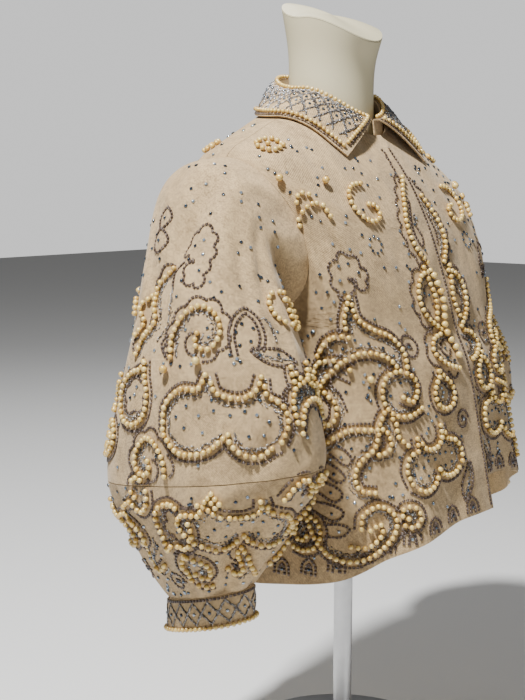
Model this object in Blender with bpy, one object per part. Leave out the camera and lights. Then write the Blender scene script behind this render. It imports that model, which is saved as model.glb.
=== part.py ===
"""Cropped beaded jacket, closed at the front, on a limbless dress form with a pole and a round base.

Metres, +Z up. The jacket's front faces -Y and the wearer's right side is -X.
The body of the jacket is one bell of rings around the neck axis, from the neckline to the hem. Each
panel is cut out of that bell by its own angles, so the shoulder, side and armhole seams line up.
"""
import bpy
import math
import numpy as np

# cloth and seams
CLOTH = 0.0016
SEAM = 0.00045
LAP_OUT = 0.0024
LAP_RIGHT = 0.012
LAP_LEFT = 0.010

# the stand: the tables below give heights over the pole's foot, and RAISE lifts them all
RAISE = 0.060
BASE_RADIUS = 0.135
BASE_THICK = 0.012
POLE_RADIUS = 0.011
POLE_Y = -0.020
TORSO_BOTTOM = 0.360

# armhole: its place down the bell, and how far it reaches to the front and the back
ARM_TOP = 0.285
ARM_LOW = 0.545
ARM_FRONT = 33.0
ARM_BACK = 31.0

# the bell: down = place from neck to hem, side = half width, front and back = depths,
# z_front, z_side, z_back = heights, square = fullness of the corners
BELL = [
    # down  side   front  back   z_front z_side z_back square
    (0.000, 0.064, 0.055, 0.060, 0.672, 0.702, 0.716, 0.00),
    (0.080, 0.090, 0.072, 0.072, 0.652, 0.694, 0.703, 0.02),
    (0.180, 0.138, 0.098, 0.098, 0.617, 0.673, 0.665, 0.06),
    (0.285, 0.183, 0.123, 0.116, 0.568, 0.647, 0.622, 0.11),
    (0.390, 0.186, 0.142, 0.125, 0.515, 0.593, 0.573, 0.17),
    (0.520, 0.172, 0.158, 0.129, 0.462, 0.500, 0.510, 0.23),
    (0.620, 0.165, 0.172, 0.128, 0.430, 0.440, 0.450, 0.27),
    (0.800, 0.172, 0.191, 0.131, 0.347, 0.322, 0.325, 0.26),
    (1.000, 0.184, 0.207, 0.138, 0.272, 0.200, 0.197, 0.25),
]
# soft folds that run down the bell: angle from the front, width, depth out at the hem, start
BELL_FOLDS = [
    # angle  width  out     start
    (12.0, 6.0, -0.0040, 0.55),
    (27.0, 7.0, 0.0055, 0.50),
    (41.0, 6.0, -0.0050, 0.60),
    (56.0, 7.0, 0.0060, 0.55),
    (74.0, 7.0, -0.0050, 0.58),
    (104.0, 8.0, 0.0060, 0.58),
    (122.0, 8.0, -0.0060, 0.55),
    (141.0, 8.0, 0.0060, 0.50),
    (160.0, 8.0, -0.0050, 0.55),
]

# sleeve rings below the cap: along = place from armhole to cuff, out = from the middle, y, z,
# thick = half size across the arm, deep = half size front to back, tilt in degrees, pitch = rise
# of the front over the middle for each metre
SLEEVE = [
    # along  out    y       z      thick  deep   tilt  pitch
    (0.00, 0.184, -0.002, 0.600, 0.056, 0.062, 74.0, 0.00),
    (0.14, 0.207, -0.005, 0.584, 0.060, 0.068, 62.0, 0.02),
    (0.28, 0.224, -0.018, 0.532, 0.063, 0.077, 36.0, 0.05),
    (0.42, 0.240, -0.033, 0.480, 0.066, 0.090, 18.0, 0.09),
    (0.56, 0.253, -0.043, 0.420, 0.070, 0.107, 6.0, 0.13),
    (0.70, 0.261, -0.049, 0.338, 0.072, 0.124, 0.0, 0.16),
    (0.76, 0.262, -0.049, 0.312, 0.069, 0.112, 0.0, 0.17),
    (0.84, 0.261, -0.047, 0.276, 0.059, 0.085, 0.0, 0.20),
    (0.91, 0.259, -0.044, 0.246, 0.047, 0.068, 0.0, 0.24),
    (0.97, 0.257, -0.042, 0.219, 0.034, 0.050, 0.0, 0.28),
    (1.00, 0.257, -0.042, 0.215, 0.032, 0.047, 0.0, 0.28),
]
ELBOW = 0.70
LEFT_SWING = 0.085
# the form leans a little, so the wearer's left shoulder is narrower and lower
LEAN_NARROW = 0.08
LEAN_DROP = 0.008
# folds of the sleeve: angle around from the outer side to the front, width, depth, first, last place
SLEEVE_FOLDS = [
    # angle  width  out     first  last
    (20.0, 13.0, 0.0060, 0.66, 1.00),
    (48.0, 12.0, -0.0080, 0.62, 1.00),
    (76.0, 12.0, 0.0070, 0.66, 1.00),
    (104.0, 12.0, -0.0080, 0.60, 1.00),
    (132.0, 13.0, 0.0060, 0.66, 1.00),
    (200.0, 14.0, -0.0050, 0.64, 1.00),
    (232.0, 12.0, 0.0060, 0.66, 1.00),
    (260.0, 12.0, -0.0080, 0.62, 1.00),
    (288.0, 12.0, 0.0070, 0.66, 1.00),
    (318.0, 13.0, -0.0070, 0.64, 1.00),
    (346.0, 12.0, -0.0040, 0.70, 1.00),
    (64.0, 16.0, -0.0050, 0.20, 0.60),
    (300.0, 18.0, -0.0050, 0.22, 0.62),
]

CUFF_TOP = 0.2140
CUFF_LOW = 0.1810

# collar: the fold line ring, and the outer edge as places down the bell
FOLD_RING = (0.058, 0.052, 0.066, 0.691, 0.722, 0.741)
COLLAR_LIFT = 0.0036
COLLAR_EDGE = [
    # angle  down
    (37.0, 0.150),
    (60.0, 0.118),
    (90.0, 0.108),
    (135.0, 0.098),
    (180.0, 0.090),
]

# neck of the form above the torso: half width, front, back, z_front, z_side, z_back
NECK = [
    # side   front  back   z_front z_side z_back
    (0.0490, 0.0450, 0.0530, 0.663, 0.686, 0.698),
    (0.0475, 0.0440, 0.0530, 0.722, 0.730, 0.738),
    (0.0495, 0.0460, 0.0540, 0.751, 0.764, 0.776),
    (0.0565, 0.0530, 0.0610, 0.775, 0.800, 0.825),
]
CAP_DOME = 0.007
CAP_EDGE = 0.0016


def smooth(x):
    x = np.clip(x, 0.0, 1.0)
    return x * x * (3.0 - 2.0 * x)


def table(rows, x):
    """Smooth curve through the columns of a table, with slopes from its neighbouring rows."""
    rows = np.array(rows, dtype=float)
    keys = rows[:, 0]
    values = rows[:, 1:]
    slope = np.gradient(values, keys, axis=0)
    x = np.asarray(x, dtype=float)
    i = np.clip(np.searchsorted(keys, x, side="right") - 1, 0, len(keys) - 2)
    h = keys[i + 1] - keys[i]
    t = ((x - keys[i]) / h)[..., None]
    h = h[..., None]
    a = values[i]
    b = values[i + 1]
    return ((1 + 2 * t) * (1 - t) ** 2 * a + t * (1 - t) ** 2 * h * slope[i]
            + t * t * (3 - 2 * t) * b + t * t * (t - 1) * h * slope[i + 1])


def ring(side, front, back, z_front, z_side, z_back, square, angle):
    """Points of a body ring. The angle is 0 at the middle front, 180 at the middle back, plus to -X."""
    s = np.sin(angle)
    c = np.cos(angle)
    ahead = c > 0
    x = -side * s * (1 + square * c * c)
    y = -np.where(ahead, front, back) * c * (1 + square * s * s)
    z = RAISE + z_side + np.where(ahead, z_front - z_side, z_back - z_side) * c * c
    return np.stack([x, y, z], axis=-1)


def bell(down, angle):
    """The bell surface with its folds, angle in radians, minus on the wearer's left."""
    down, angle = np.broadcast_arrays(np.asarray(down, float), np.asarray(angle, float))
    side, front, back, zf, zs, zb, square = np.moveaxis(table(BELL, down), -1, 0)
    p = ring(side, front, back, zf, zs, zb, square, angle)
    out = np.zeros(down.shape)
    degrees = np.degrees(np.abs(angle))
    for at, width, depth, start in BELL_FOLDS:
        out = out + depth * np.exp(-((degrees - at) / width) ** 2) * smooth((down - start) / (1 - start)) ** 1.3
    out = out + 0.0035 * np.exp(-((degrees - 50) / 9) ** 2) * np.exp(-((down - 0.45) / 0.09) ** 2)
    level = np.stack([p[..., 0], p[..., 1], 0 * p[..., 0]], axis=-1)
    level = level / np.maximum(np.linalg.norm(level, axis=-1, keepdims=True), 1e-6)
    return p + level * out[..., None]


def normal_of(surface, a, b, step=0.004):
    """Unit normal of a surface of two values, from its slopes."""
    da = surface(a + step, b) - surface(a - step, b)
    db = surface(a, b + step) - surface(a, b - step)
    n = np.cross(da, db)
    return n / np.maximum(np.linalg.norm(n, axis=-1, keepdims=True), 1e-9)


def bell_normal(down, angle):
    down, angle = np.broadcast_arrays(np.asarray(down, float), np.asarray(angle, float))
    low = np.clip(down, 0.004, 0.996)
    n = normal_of(bell, low, angle)
    return -n


def make(name, verts, faces, colour, rough, metal=0.0):
    """One closed solid as a named object with its own material."""
    mesh = bpy.data.meshes.new(name)
    mesh.from_pydata([tuple(v) for v in verts], [], faces)
    mesh.validate()
    obj = bpy.data.objects.new(name, mesh)
    bpy.context.scene.collection.objects.link(obj)
    mat = bpy.data.materials.new(name)
    mat.use_nodes = True
    shader = mat.node_tree.nodes["Principled BSDF"]
    shader.inputs["Base Color"].default_value = (*colour, 1.0)
    shader.inputs["Roughness"].default_value = rough
    shader.inputs["Metallic"].default_value = metal
    mesh.materials.append(mat)
    return obj


def wall(name, outer, inner, closed, colour, rough):
    """Closed wall between two point grids of rows x columns, outer on the side that shows."""
    rows, cols = outer.shape[:2]
    count = rows * cols
    verts = np.concatenate([outer.reshape(-1, 3), inner.reshape(-1, 3)])
    faces = []
    span = cols if closed else cols - 1
    for r in range(rows - 1):
        for c in range(span):
            d = (c + 1) % cols
            a, b, e, f = r * cols + c, r * cols + d, (r + 1) * cols + d, (r + 1) * cols + c
            faces.append((a, b, e, f))
            faces.append((count + f, count + e, count + b, count + a))
    for c in range(span):
        d = (c + 1) % cols
        faces.append((count + c, count + d, d, c))
        top = (rows - 1) * cols
        faces.append((top + c, top + d, count + top + d, count + top + c))
    if not closed:
        for r in range(rows - 1):
            a, f = r * cols, (r + 1) * cols
            faces.append((a, f, count + f, count + a))
            a, f = r * cols + cols - 1, (r + 1) * cols + cols - 1
            faces.append((count + a, count + f, f, a))
    obj = make(name, verts, faces, colour, rough)
    face_out(obj)
    return obj


def face_out(obj):
    """Turns every face outward if the solid's signed volume is negative."""
    mesh = obj.data
    mesh.calc_loop_triangles()
    tri = np.array([t.vertices[:] for t in mesh.loop_triangles])
    v = np.array([q.co[:] for q in mesh.vertices])
    volume = np.einsum("ij,ij->i", v[tri[:, 0]], np.cross(v[tri[:, 1]], v[tri[:, 2]])).sum()
    if volume < 0:
        mesh.flip_normals()


# panels of the body

def rows_of_panel():
    """Places down the bell: neck and shoulder, armhole, side."""
    mid = 0.5 * (ARM_TOP + ARM_LOW)
    half = 0.5 * (ARM_LOW - ARM_TOP)
    arm = mid - half * np.cos(np.linspace(0, math.pi, 10))
    top = np.linspace(0, ARM_TOP, 6)[:-1]
    low = np.linspace(ARM_LOW, 1.0, 8)[1:]
    return np.concatenate([top, arm, low])


def armhole_reach(down):
    mid = 0.5 * (ARM_TOP + ARM_LOW)
    half = 0.5 * (ARM_LOW - ARM_TOP)
    return np.sqrt(np.clip(1 - ((down - mid) / half) ** 2, 0, 1))


def seam_angle(down, metres):
    """The angle that a distance takes on the bell's ring."""
    side = table(BELL, down)[..., 0]
    return metres / side


def side_edge(down, reach):
    return np.radians(90.0 - reach * armhole_reach(down)) - seam_angle(down, SEAM)


def panel(name, start, end, columns, last, lap, colour):
    """A panel between two angle functions. `last` gives the hem's place, `lap` the lift at the front."""
    down = rows_of_panel()[:, None]
    across = np.linspace(0, 1, columns)[None, :]
    angle = start(down) + (end(down) - start(down)) * across
    share = smooth((down - ARM_LOW) / (1 - ARM_LOW))
    place = down - share * (1 - last(angle))
    mid = bell(place, angle)
    n = bell_normal(place, angle)
    mid = mid + n * lap(angle)[..., None]
    return wall(name, mid + n * CLOTH / 2, mid - n * CLOTH / 2, False, colour, 0.9)


def full_hem(angle):
    return np.ones(np.shape(angle))


def left_hem(angle):
    return 1 - 0.095 * smooth(1 - (np.degrees(np.abs(angle)) - 15) / 85)


def no_lap(angle):
    return np.zeros(np.shape(angle))


def build_body(colour):
    def right_start(down):
        return -seam_angle(down, LAP_RIGHT)

    def right_end(down):
        return side_edge(down, ARM_FRONT)

    def left_start(down):
        return -side_edge(down, ARM_FRONT)

    def left_end(down):
        return seam_angle(down, LAP_LEFT)

    def back_start(down):
        return math.pi - side_edge(down, ARM_BACK)

    def back_end(down):
        return math.pi + side_edge(down, ARM_BACK)

    panel("front_right", right_start, right_end, 14, full_hem, right_lap, colour)
    panel("front_left", left_start, left_end, 14, left_hem, no_lap, colour)
    panel_back("back", back_start, back_end, colour)


def right_lap(angle):
    """The right front lies over the left: lifted by a little more than the cloth near the middle."""
    degrees = np.degrees(angle)
    return LAP_OUT * smooth((24 - degrees) / 16)


def panel_back(name, start, end, colour):
    down = rows_of_panel()[:, None]
    across = np.linspace(0, 1, 23)[None, :]
    angle = start(down) + (end(down) - start(down)) * across
    angle = np.where(angle > math.pi, angle - 2 * math.pi, angle)
    mid = bell(down + 0 * angle, angle)
    n = bell_normal(down + 0 * angle, angle)
    return wall(name, mid + n * CLOTH / 2, mid - n * CLOTH / 2, False, colour, 0.9)


# sleeves

def armhole_curve(turn):
    """The armhole on the bell: turn 0 at the shoulder, 90 at the front, 180 under the arm."""
    mid = 0.5 * (ARM_TOP + ARM_LOW)
    half = 0.5 * (ARM_LOW - ARM_TOP)
    down = mid - half * np.cos(turn)
    s = np.sin(turn)
    reach = np.where(s > 0, ARM_FRONT, ARM_BACK)
    return bell(down, np.radians(90 - reach * s))


def sleeve_point(along, turn):
    """Sleeve surface: the armhole curve turns into the rings of the table within the cap."""
    along, turn = np.broadcast_arrays(np.asarray(along, float), np.asarray(turn, float))
    out, y, z, thick, deep, tilt, pitch = np.moveaxis(table(SLEEVE, along), -1, 0)
    tilt = np.radians(tilt)
    c = np.cos(turn)
    s = np.sin(turn)
    a = thick * c * (1 + 0.10 * s * s)
    b = deep * s * (1 + 0.06 * c * c)
    p = np.stack([-out - a * np.cos(tilt), y - b, RAISE + z + a * np.sin(tilt) + pitch * b], axis=-1)
    lift = np.zeros(along.shape)
    degrees = np.degrees(turn) % 360
    for at, width, depth, first, last in SLEEVE_FOLDS:
        gap = (degrees - at + 180) % 360 - 180
        middle = 0.5 * (first + last) if last < 0.9 else 0.86
        length = 0.5 * (last - first) if last < 0.9 else 0.14
        lift = lift + depth * np.exp(-(gap / width) ** 2) * np.exp(-((along - middle) / length) ** 2 * 1.6)
    lift = lift * smooth((along - 0.05) / 0.15)
    level = np.stack([-c * np.cos(tilt), -s, c * np.sin(tilt)], axis=-1)
    p = p + level * lift[..., None]
    w = smooth(along / 0.30)[..., None]
    arm = armhole_curve(turn)
    reach = 0.26 * along
    arm = arm + np.stack([-0.0013 - reach, 0 * reach, -0.10 * reach], axis=-1)
    return arm * (1 - w) + p * w


def sleeve_normal(along, turn):
    along, turn = np.broadcast_arrays(np.asarray(along, float), np.asarray(turn, float))
    n = normal_of(sleeve_point, np.clip(along, 0.0045, 0.9955), turn)
    return -n


def to_left(points, swing):
    """Mirror to the wearer's left, with the arm swung back by up to `swing`."""
    q = points.copy()
    q[..., 0] = -q[..., 0]
    return q + np.stack([0 * swing, swing, 0 * swing], axis=-1)


def sleeve_part(name, first, last, rows, left, colour):
    along = np.linspace(first, last, rows)[:, None]
    turn = np.linspace(0, 2 * math.pi, 25)[:-1][None, :]
    mid = sleeve_point(along, turn)
    n = sleeve_normal(along, turn)
    outer = mid + n * CLOTH / 2
    inner = mid - n * CLOTH / 2
    if left:
        swing = LEFT_SWING * smooth((along + 0 * turn - 0.02) / 0.50)
        outer = to_left(outer, swing)
        inner = to_left(inner, swing)
    return wall(name, outer, inner, True, colour, 0.9)


def cuff(name, left, colour):
    """Short band of cloth around the wrist, open at both ends."""
    turn = np.linspace(0, 2 * math.pi, 25)[:-1][None, :]
    height = RAISE + np.linspace(CUFF_TOP, CUFF_LOW, 3)[:, None]
    out, y, z, thick, deep, tilt, pitch = table(SLEEVE, np.array(1.0))
    x = -out - (thick + 0.0006) * np.cos(turn) * (1 + 0.10 * np.sin(turn) ** 2)
    y = y - (deep + 0.0006) * np.sin(turn) * (1 + 0.06 * np.cos(turn) ** 2)
    rise = pitch * deep * np.sin(turn) * (1 + 0.06 * np.cos(turn) ** 2)
    mid = np.stack([x + 0 * height, y + 0 * height, height + rise], axis=-1)
    n = np.stack([-np.cos(turn) + 0 * height, -np.sin(turn) + 0 * height, 0 * turn + 0 * height], axis=-1)
    outer = mid + n * 0.0012
    inner = mid - n * 0.0010
    if left:
        swing = LEFT_SWING * np.ones(outer.shape[:2])
        outer = to_left(outer, swing)
        inner = to_left(inner, swing)
    return wall(name, outer, inner, True, colour, 0.9)


# collar

def fold_line(angle):
    return ring(*FOLD_RING, 0.0, angle)


def collar_point(across, around):
    """The fall of the collar: across 0 at the fold line, 1 at its outer edge; around -1 to 1."""
    across, around = np.broadcast_arrays(np.asarray(across, float), np.asarray(around, float))
    near = np.radians(4.0)
    far = np.radians(COLLAR_EDGE[0][0])
    a0 = math.pi - np.abs(around) * (math.pi - near)
    a1 = math.pi - np.abs(around) * (math.pi - far)
    side = np.where(around < 0, -1.0, 1.0)
    down = table(COLLAR_EDGE, np.degrees(a1))[..., 0]
    top = fold_line(a0)
    low = bell(down, a1) + bell_normal(down, a1) * COLLAR_LIFT
    level = np.stack([-np.sin(a0), -np.cos(a0), 0 * a0], axis=-1)
    bend = top + level * 0.013 + np.array([0, 0, 0.004])
    t = across[..., None]
    p = top * (1 - t) ** 2 + bend * 2 * t * (1 - t) + low * t * t
    p[..., 0] = p[..., 0] * side
    return p


def build_collar(colour):
    across = np.linspace(0, 1, 7)[:, None]
    around = np.sin(np.linspace(-1, 1, 37) * math.pi / 2)[None, :]
    around = 0.5 * around + 0.5 * np.linspace(-1, 1, 37)[None, :]
    mid = collar_point(across, around)
    n = normal_of(collar_point, np.clip(across, 0.006, 0.994), np.clip(around, -0.994, 0.994))
    if (n[3, 18] * np.array([0, 1, 0.5])).sum() < 0:
        n = -n
    wall("collar", mid + n * 0.0009, mid - n * 0.0009, False, colour, 0.9)

    angle = np.radians(np.linspace(6, 354, 41))[None, :]
    rise = np.linspace(0, 1, 3)[:, None]
    low = ring(*BELL[0][1:], angle)
    level = np.stack([-np.sin(angle), -np.cos(angle), 0 * angle], axis=-1)
    low = low - level * 0.0021
    low[..., 2] -= 0.002
    high = fold_line(angle) - level * 0.0015
    high[..., 2] -= 0.0003
    mid = low[None, 0] * (1 - rise[..., None]) + high[None, 0] * rise[..., None]
    n = level + 0 * mid
    wall("collar_stand", mid + n * 0.0008, mid - n * 0.0008, False, colour, 0.9)


# dress form

def form_gap(down, angle):
    """How far the form lies inside the cloth: close on the shoulders and the bust, free elsewhere."""
    degrees = np.degrees(np.abs(angle))
    near_neck = 0.0110 * smooth(1.15 - down / 0.11)
    shoulder = 0.0019
    chest = 0.004 * smooth((down - 0.30) / 0.2)
    armside = 0.010 * smooth((down - 0.24) / 0.12) * np.exp(-((degrees - 90) / 38) ** 2)
    waist = 0.030 * smooth((down - 0.64) / 0.16)
    return shoulder + near_neck + chest + armside + waist


def build_form(colour, cap_colour, metal_colour):
    angle = np.linspace(0, 2 * math.pi, 41)[:-1]
    signed = np.where(angle > math.pi, angle - 2 * math.pi, angle)
    rings = []
    for side, front, back, zf, zs, zb in reversed(NECK):
        rings.append(ring(side, front, back, zf, zs, zb, 0.0, angle))
    for down in (0.05, 0.10, 0.16, 0.225, 0.285, 0.34, 0.41, 0.50, 0.60, 0.69, 0.78):
        side, front, back, zf, zs, zb, square = table(BELL, np.array(down))
        p = ring(side, front, back, zf, zs, zb, square, signed)
        n = bell_normal(np.full(angle.shape, down), signed)
        rings.append(p - n * form_gap(down, signed)[:, None])
    last = rings[-1].copy()
    middle = last.mean(axis=0)
    middle[2] = 0
    last[:, :2] = middle[:2] + (last[:, :2] - middle[:2]) * 0.95
    last[:, 2] = TORSO_BOTTOM + 0.006
    rings.append(last)
    low = last.copy()
    low[:, :2] = middle[:2] + (low[:, :2] - middle[:2]) * 0.96
    low[:, 2] = TORSO_BOTTOM
    rings.append(low)
    loft("dress_form", rings, colour, 0.45)

    top = rings[0]
    side, front, back, zf, zs, zb = NECK[-1]
    cap = []
    for scale, rise in ((0.30, 1.0), (0.62, 0.80), (0.86, 0.42), (1.0, 0.0)):
        p = top.copy()
        middle = top.mean(axis=0)
        p = middle + (p - middle) * scale
        p[:, 2] += 0.0004 + CAP_EDGE + CAP_DOME * rise
        cap.append(p)
    bottom = top.copy()
    bottom[:, 2] += 0.0004
    cap.append(bottom)
    loft("neck_cap", cap, cap_colour, 0.4)

    turn = np.linspace(0, 2 * math.pi, 49)[:-1]

    def circle(radius, z):
        return np.stack([radius * np.cos(turn), POLE_Y + radius * np.sin(turn), z + 0 * turn], axis=-1)

    loft("pole", [circle(POLE_RADIUS, TORSO_BOTTOM - 0.0004), circle(POLE_RADIUS, BASE_THICK + 0.0004)],
         metal_colour, 0.3, 1.0)
    loft("base", [circle(BASE_RADIUS - 0.004, BASE_THICK), circle(BASE_RADIUS, BASE_THICK - 0.004),
                  circle(BASE_RADIUS, 0.0)], metal_colour, 0.3, 1.0)


def loft(name, rings, colour, rough, metal=0.0):
    """Closed solid through rings from top to bottom with a flat cap of triangles at each end."""
    count = len(rings[0])
    verts = [tuple(p) for q in rings for p in q]
    faces = []
    for r in range(len(rings) - 1):
        for c in range(count):
            d = (c + 1) % count
            faces.append((r * count + c, r * count + d, (r + 1) * count + d, (r + 1) * count + c))
    top = len(verts)
    verts.append(tuple(rings[0].mean(axis=0)))
    low = len(verts)
    verts.append(tuple(rings[-1].mean(axis=0)))
    end = (len(rings) - 1) * count
    for c in range(count):
        d = (c + 1) % count
        faces.append((top, d, c))
        faces.append((low, end + c, end + d))
    obj = make(name, verts, faces, colour, rough, metal)
    face_out(obj)
    return obj


def lean_left():
    """Narrows and lowers everything on the wearer's left around the shoulder's height."""
    for obj in bpy.data.objects:
        v = np.array([q.co[:] for q in obj.data.vertices])
        share = smooth(v[:, 0] / 0.16) * np.exp(-((v[:, 2] - RAISE - 0.645) / 0.075) ** 2)
        v[:, 0] -= v[:, 0] * LEAN_NARROW * share
        v[:, 2] -= LEAN_DROP * share
        obj.data.vertices.foreach_set("co", v.astype(np.float32).ravel())
        obj.data.update()


def centre_all():
    """Moves everything so that the middle of the outer box is over the origin."""
    points = [v.co[:] for o in bpy.data.objects for v in o.data.vertices]
    points = np.array(points)
    middle = 0.5 * (points.min(axis=0) + points.max(axis=0))
    for obj in bpy.data.objects:
        for v in obj.data.vertices:
            v.co.x -= middle[0]
            v.co.y -= middle[1]
    print("centre", middle[0], middle[1])


def main():
    for obj in list(bpy.data.objects):
        bpy.data.objects.remove(obj, do_unlink=True)
    cloth = (0.50, 0.40, 0.27)
    build_body(cloth)
    for left in (False, True):
        word = "left" if left else "right"
        sleeve_part("sleeve_upper_" + word, 0.0, ELBOW - 0.0008, 12, left, cloth)
        sleeve_part("sleeve_lower_" + word, ELBOW + 0.0008, 0.999, 9, left, cloth)
        cuff("cuff_" + word, left, cloth)
    build_collar(cloth)
    build_form((0.72, 0.67, 0.55), (0.70, 0.66, 0.56), (0.55, 0.55, 0.55))
    lean_left()
    centre_all()


main()
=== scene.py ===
"""Cropped beaded jacket on a limbless dress form: cloth shells, pearls, bead rows, stones and the form.

Lengths are in metres. The jacket's front faces -Y and the wearer's right side is -X.
"""
import math

import bpy
import numpy as np
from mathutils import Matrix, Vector


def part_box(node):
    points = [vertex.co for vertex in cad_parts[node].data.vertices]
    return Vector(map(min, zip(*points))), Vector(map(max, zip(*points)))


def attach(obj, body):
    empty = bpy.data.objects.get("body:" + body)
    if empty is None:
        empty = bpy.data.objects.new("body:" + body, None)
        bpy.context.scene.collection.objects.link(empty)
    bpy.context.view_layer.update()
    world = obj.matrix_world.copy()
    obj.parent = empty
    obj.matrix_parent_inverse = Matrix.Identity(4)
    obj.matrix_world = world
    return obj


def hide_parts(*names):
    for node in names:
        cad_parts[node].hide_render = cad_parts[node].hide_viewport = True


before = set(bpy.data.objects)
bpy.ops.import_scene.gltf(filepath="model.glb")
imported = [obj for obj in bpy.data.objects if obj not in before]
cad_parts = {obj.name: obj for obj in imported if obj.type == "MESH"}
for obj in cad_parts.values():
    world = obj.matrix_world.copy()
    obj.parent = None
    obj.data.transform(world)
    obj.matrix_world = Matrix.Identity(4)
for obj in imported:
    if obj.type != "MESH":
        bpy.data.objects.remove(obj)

bl_info = {
    "name": "Beaded Jacket",
    "version": (1, 0, 0),
    "blender": (4, 5, 0),
    "location": "View3D > Sidebar > Jacket",
    "description": "Builds the cloth, the beading and the dress form of a cropped jacket",
    "category": "Object",
}

# cloth and seams, as in the part's source
CLOTH = 0.0016
SEAM = 0.00045
LAP_OUT = 0.0024
LAP_RIGHT = 0.012
LAP_LEFT = 0.010
RAISE = 0.060
BASE_RADIUS = 0.135
BASE_THICK = 0.012
POLE_RADIUS = 0.011
POLE_Y = -0.020
TORSO_BOTTOM = 0.360
ARM_TOP = 0.285
ARM_LOW = 0.545
ARM_FRONT = 33.0
ARM_BACK = 31.0
ARM_MID = 0.5 * (ARM_TOP + ARM_LOW)
ARM_HALF = 0.5 * (ARM_LOW - ARM_TOP)
ELBOW = 0.70
LEFT_SWING = 0.085
LEAN_NARROW = 0.08
LEAN_DROP = 0.008
CUFF_TOP = 0.2140
CUFF_LOW = 0.1810

BELL = [
    # down  side   front  back   z_front z_side z_back square
    (0.000, 0.064, 0.055, 0.060, 0.672, 0.702, 0.716, 0.00),
    (0.080, 0.090, 0.072, 0.072, 0.652, 0.694, 0.703, 0.02),
    (0.180, 0.138, 0.098, 0.098, 0.617, 0.673, 0.665, 0.06),
    (0.285, 0.183, 0.123, 0.116, 0.568, 0.647, 0.622, 0.11),
    (0.390, 0.186, 0.142, 0.125, 0.515, 0.593, 0.573, 0.17),
    (0.520, 0.172, 0.158, 0.129, 0.462, 0.500, 0.510, 0.23),
    (0.620, 0.165, 0.172, 0.128, 0.430, 0.440, 0.450, 0.27),
    (0.800, 0.172, 0.191, 0.131, 0.347, 0.322, 0.325, 0.26),
    (1.000, 0.184, 0.207, 0.138, 0.272, 0.200, 0.197, 0.25),
]
BELL_FOLDS = [
    # angle  width  out     start
    (12.0, 6.0, -0.0040, 0.55),
    (27.0, 7.0, 0.0055, 0.50),
    (41.0, 6.0, -0.0050, 0.60),
    (56.0, 7.0, 0.0060, 0.55),
    (74.0, 7.0, -0.0050, 0.58),
    (104.0, 8.0, 0.0060, 0.58),
    (122.0, 8.0, -0.0060, 0.55),
    (141.0, 8.0, 0.0060, 0.50),
    (160.0, 8.0, -0.0050, 0.55),
]
# creases laid on the body: from (down, angle) to (down, angle), width and depth in metres
BELL_CREASES = [
    # down0 angle0 down1 angle1 width  out
    (0.300, 66.0, 0.480, 45.0, 0.009, -0.0022),
    (0.340, 57.0, 0.600, 50.0, 0.008, 0.0026),
    (0.430, 62.0, 0.720, 66.0, 0.010, -0.0026),
    (0.350, 61.0, 0.540, 53.0, 0.0085, -0.0026),
    (0.420, 70.0, 0.620, 68.0, 0.0085, -0.0022),
    (0.300, 52.0, 0.450, 36.0, 0.0070, -0.0024),
    (0.500, 58.0, 0.860, 57.0, 0.008, 0.0020),
    (0.200, 62.0, 0.320, 40.0, 0.011, -0.0026),
    (0.520, 20.0, 0.760, 26.0, 0.010, -0.0018),
    (0.500, 80.0, 0.700, 84.0, 0.010, 0.0020),
    (0.300, 122.0, 0.500, 140.0, 0.010, -0.0024),
    (0.450, 122.0, 0.760, 128.0, 0.010, -0.0026),
    (0.400, 150.0, 0.620, 158.0, 0.012, 0.0018),
    (0.560, 172.0, 0.900, 168.0, 0.010, -0.0020),
    (0.560, 188.0, 0.880, 194.0, 0.010, -0.0018),
    (0.180, 150.0, 0.260, 120.0, 0.010, -0.0014),
]
SLEEVE = [
    # along  out    y       z      thick  deep   tilt  pitch
    (0.00, 0.184, -0.002, 0.600, 0.056, 0.062, 74.0, 0.00),
    (0.14, 0.207, -0.005, 0.584, 0.060, 0.068, 62.0, 0.02),
    (0.28, 0.224, -0.018, 0.532, 0.063, 0.077, 36.0, 0.05),
    (0.42, 0.240, -0.033, 0.480, 0.066, 0.090, 18.0, 0.09),
    (0.56, 0.253, -0.043, 0.420, 0.070, 0.107, 6.0, 0.13),
    (0.70, 0.261, -0.049, 0.338, 0.072, 0.124, 0.0, 0.16),
    (0.76, 0.262, -0.049, 0.312, 0.069, 0.112, 0.0, 0.17),
    (0.84, 0.261, -0.047, 0.276, 0.059, 0.085, 0.0, 0.20),
    (0.91, 0.259, -0.044, 0.246, 0.047, 0.068, 0.0, 0.24),
    (0.97, 0.257, -0.042, 0.219, 0.034, 0.050, 0.0, 0.28),
    (1.00, 0.257, -0.042, 0.215, 0.032, 0.047, 0.0, 0.28),
]
SLEEVE_FOLDS = [
    # angle  width  out     first  last
    (20.0, 13.0, 0.0060, 0.66, 1.00),
    (48.0, 12.0, -0.0080, 0.62, 1.00),
    (76.0, 12.0, 0.0070, 0.66, 1.00),
    (104.0, 12.0, -0.0080, 0.60, 1.00),
    (132.0, 13.0, 0.0060, 0.66, 1.00),
    (200.0, 14.0, -0.0050, 0.64, 1.00),
    (232.0, 12.0, 0.0060, 0.66, 1.00),
    (260.0, 12.0, -0.0080, 0.62, 1.00),
    (288.0, 12.0, 0.0070, 0.66, 1.00),
    (318.0, 13.0, -0.0070, 0.64, 1.00),
    (346.0, 12.0, -0.0040, 0.70, 1.00),
    (64.0, 16.0, -0.0050, 0.20, 0.60),
    (300.0, 18.0, -0.0050, 0.22, 0.62),
]
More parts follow.
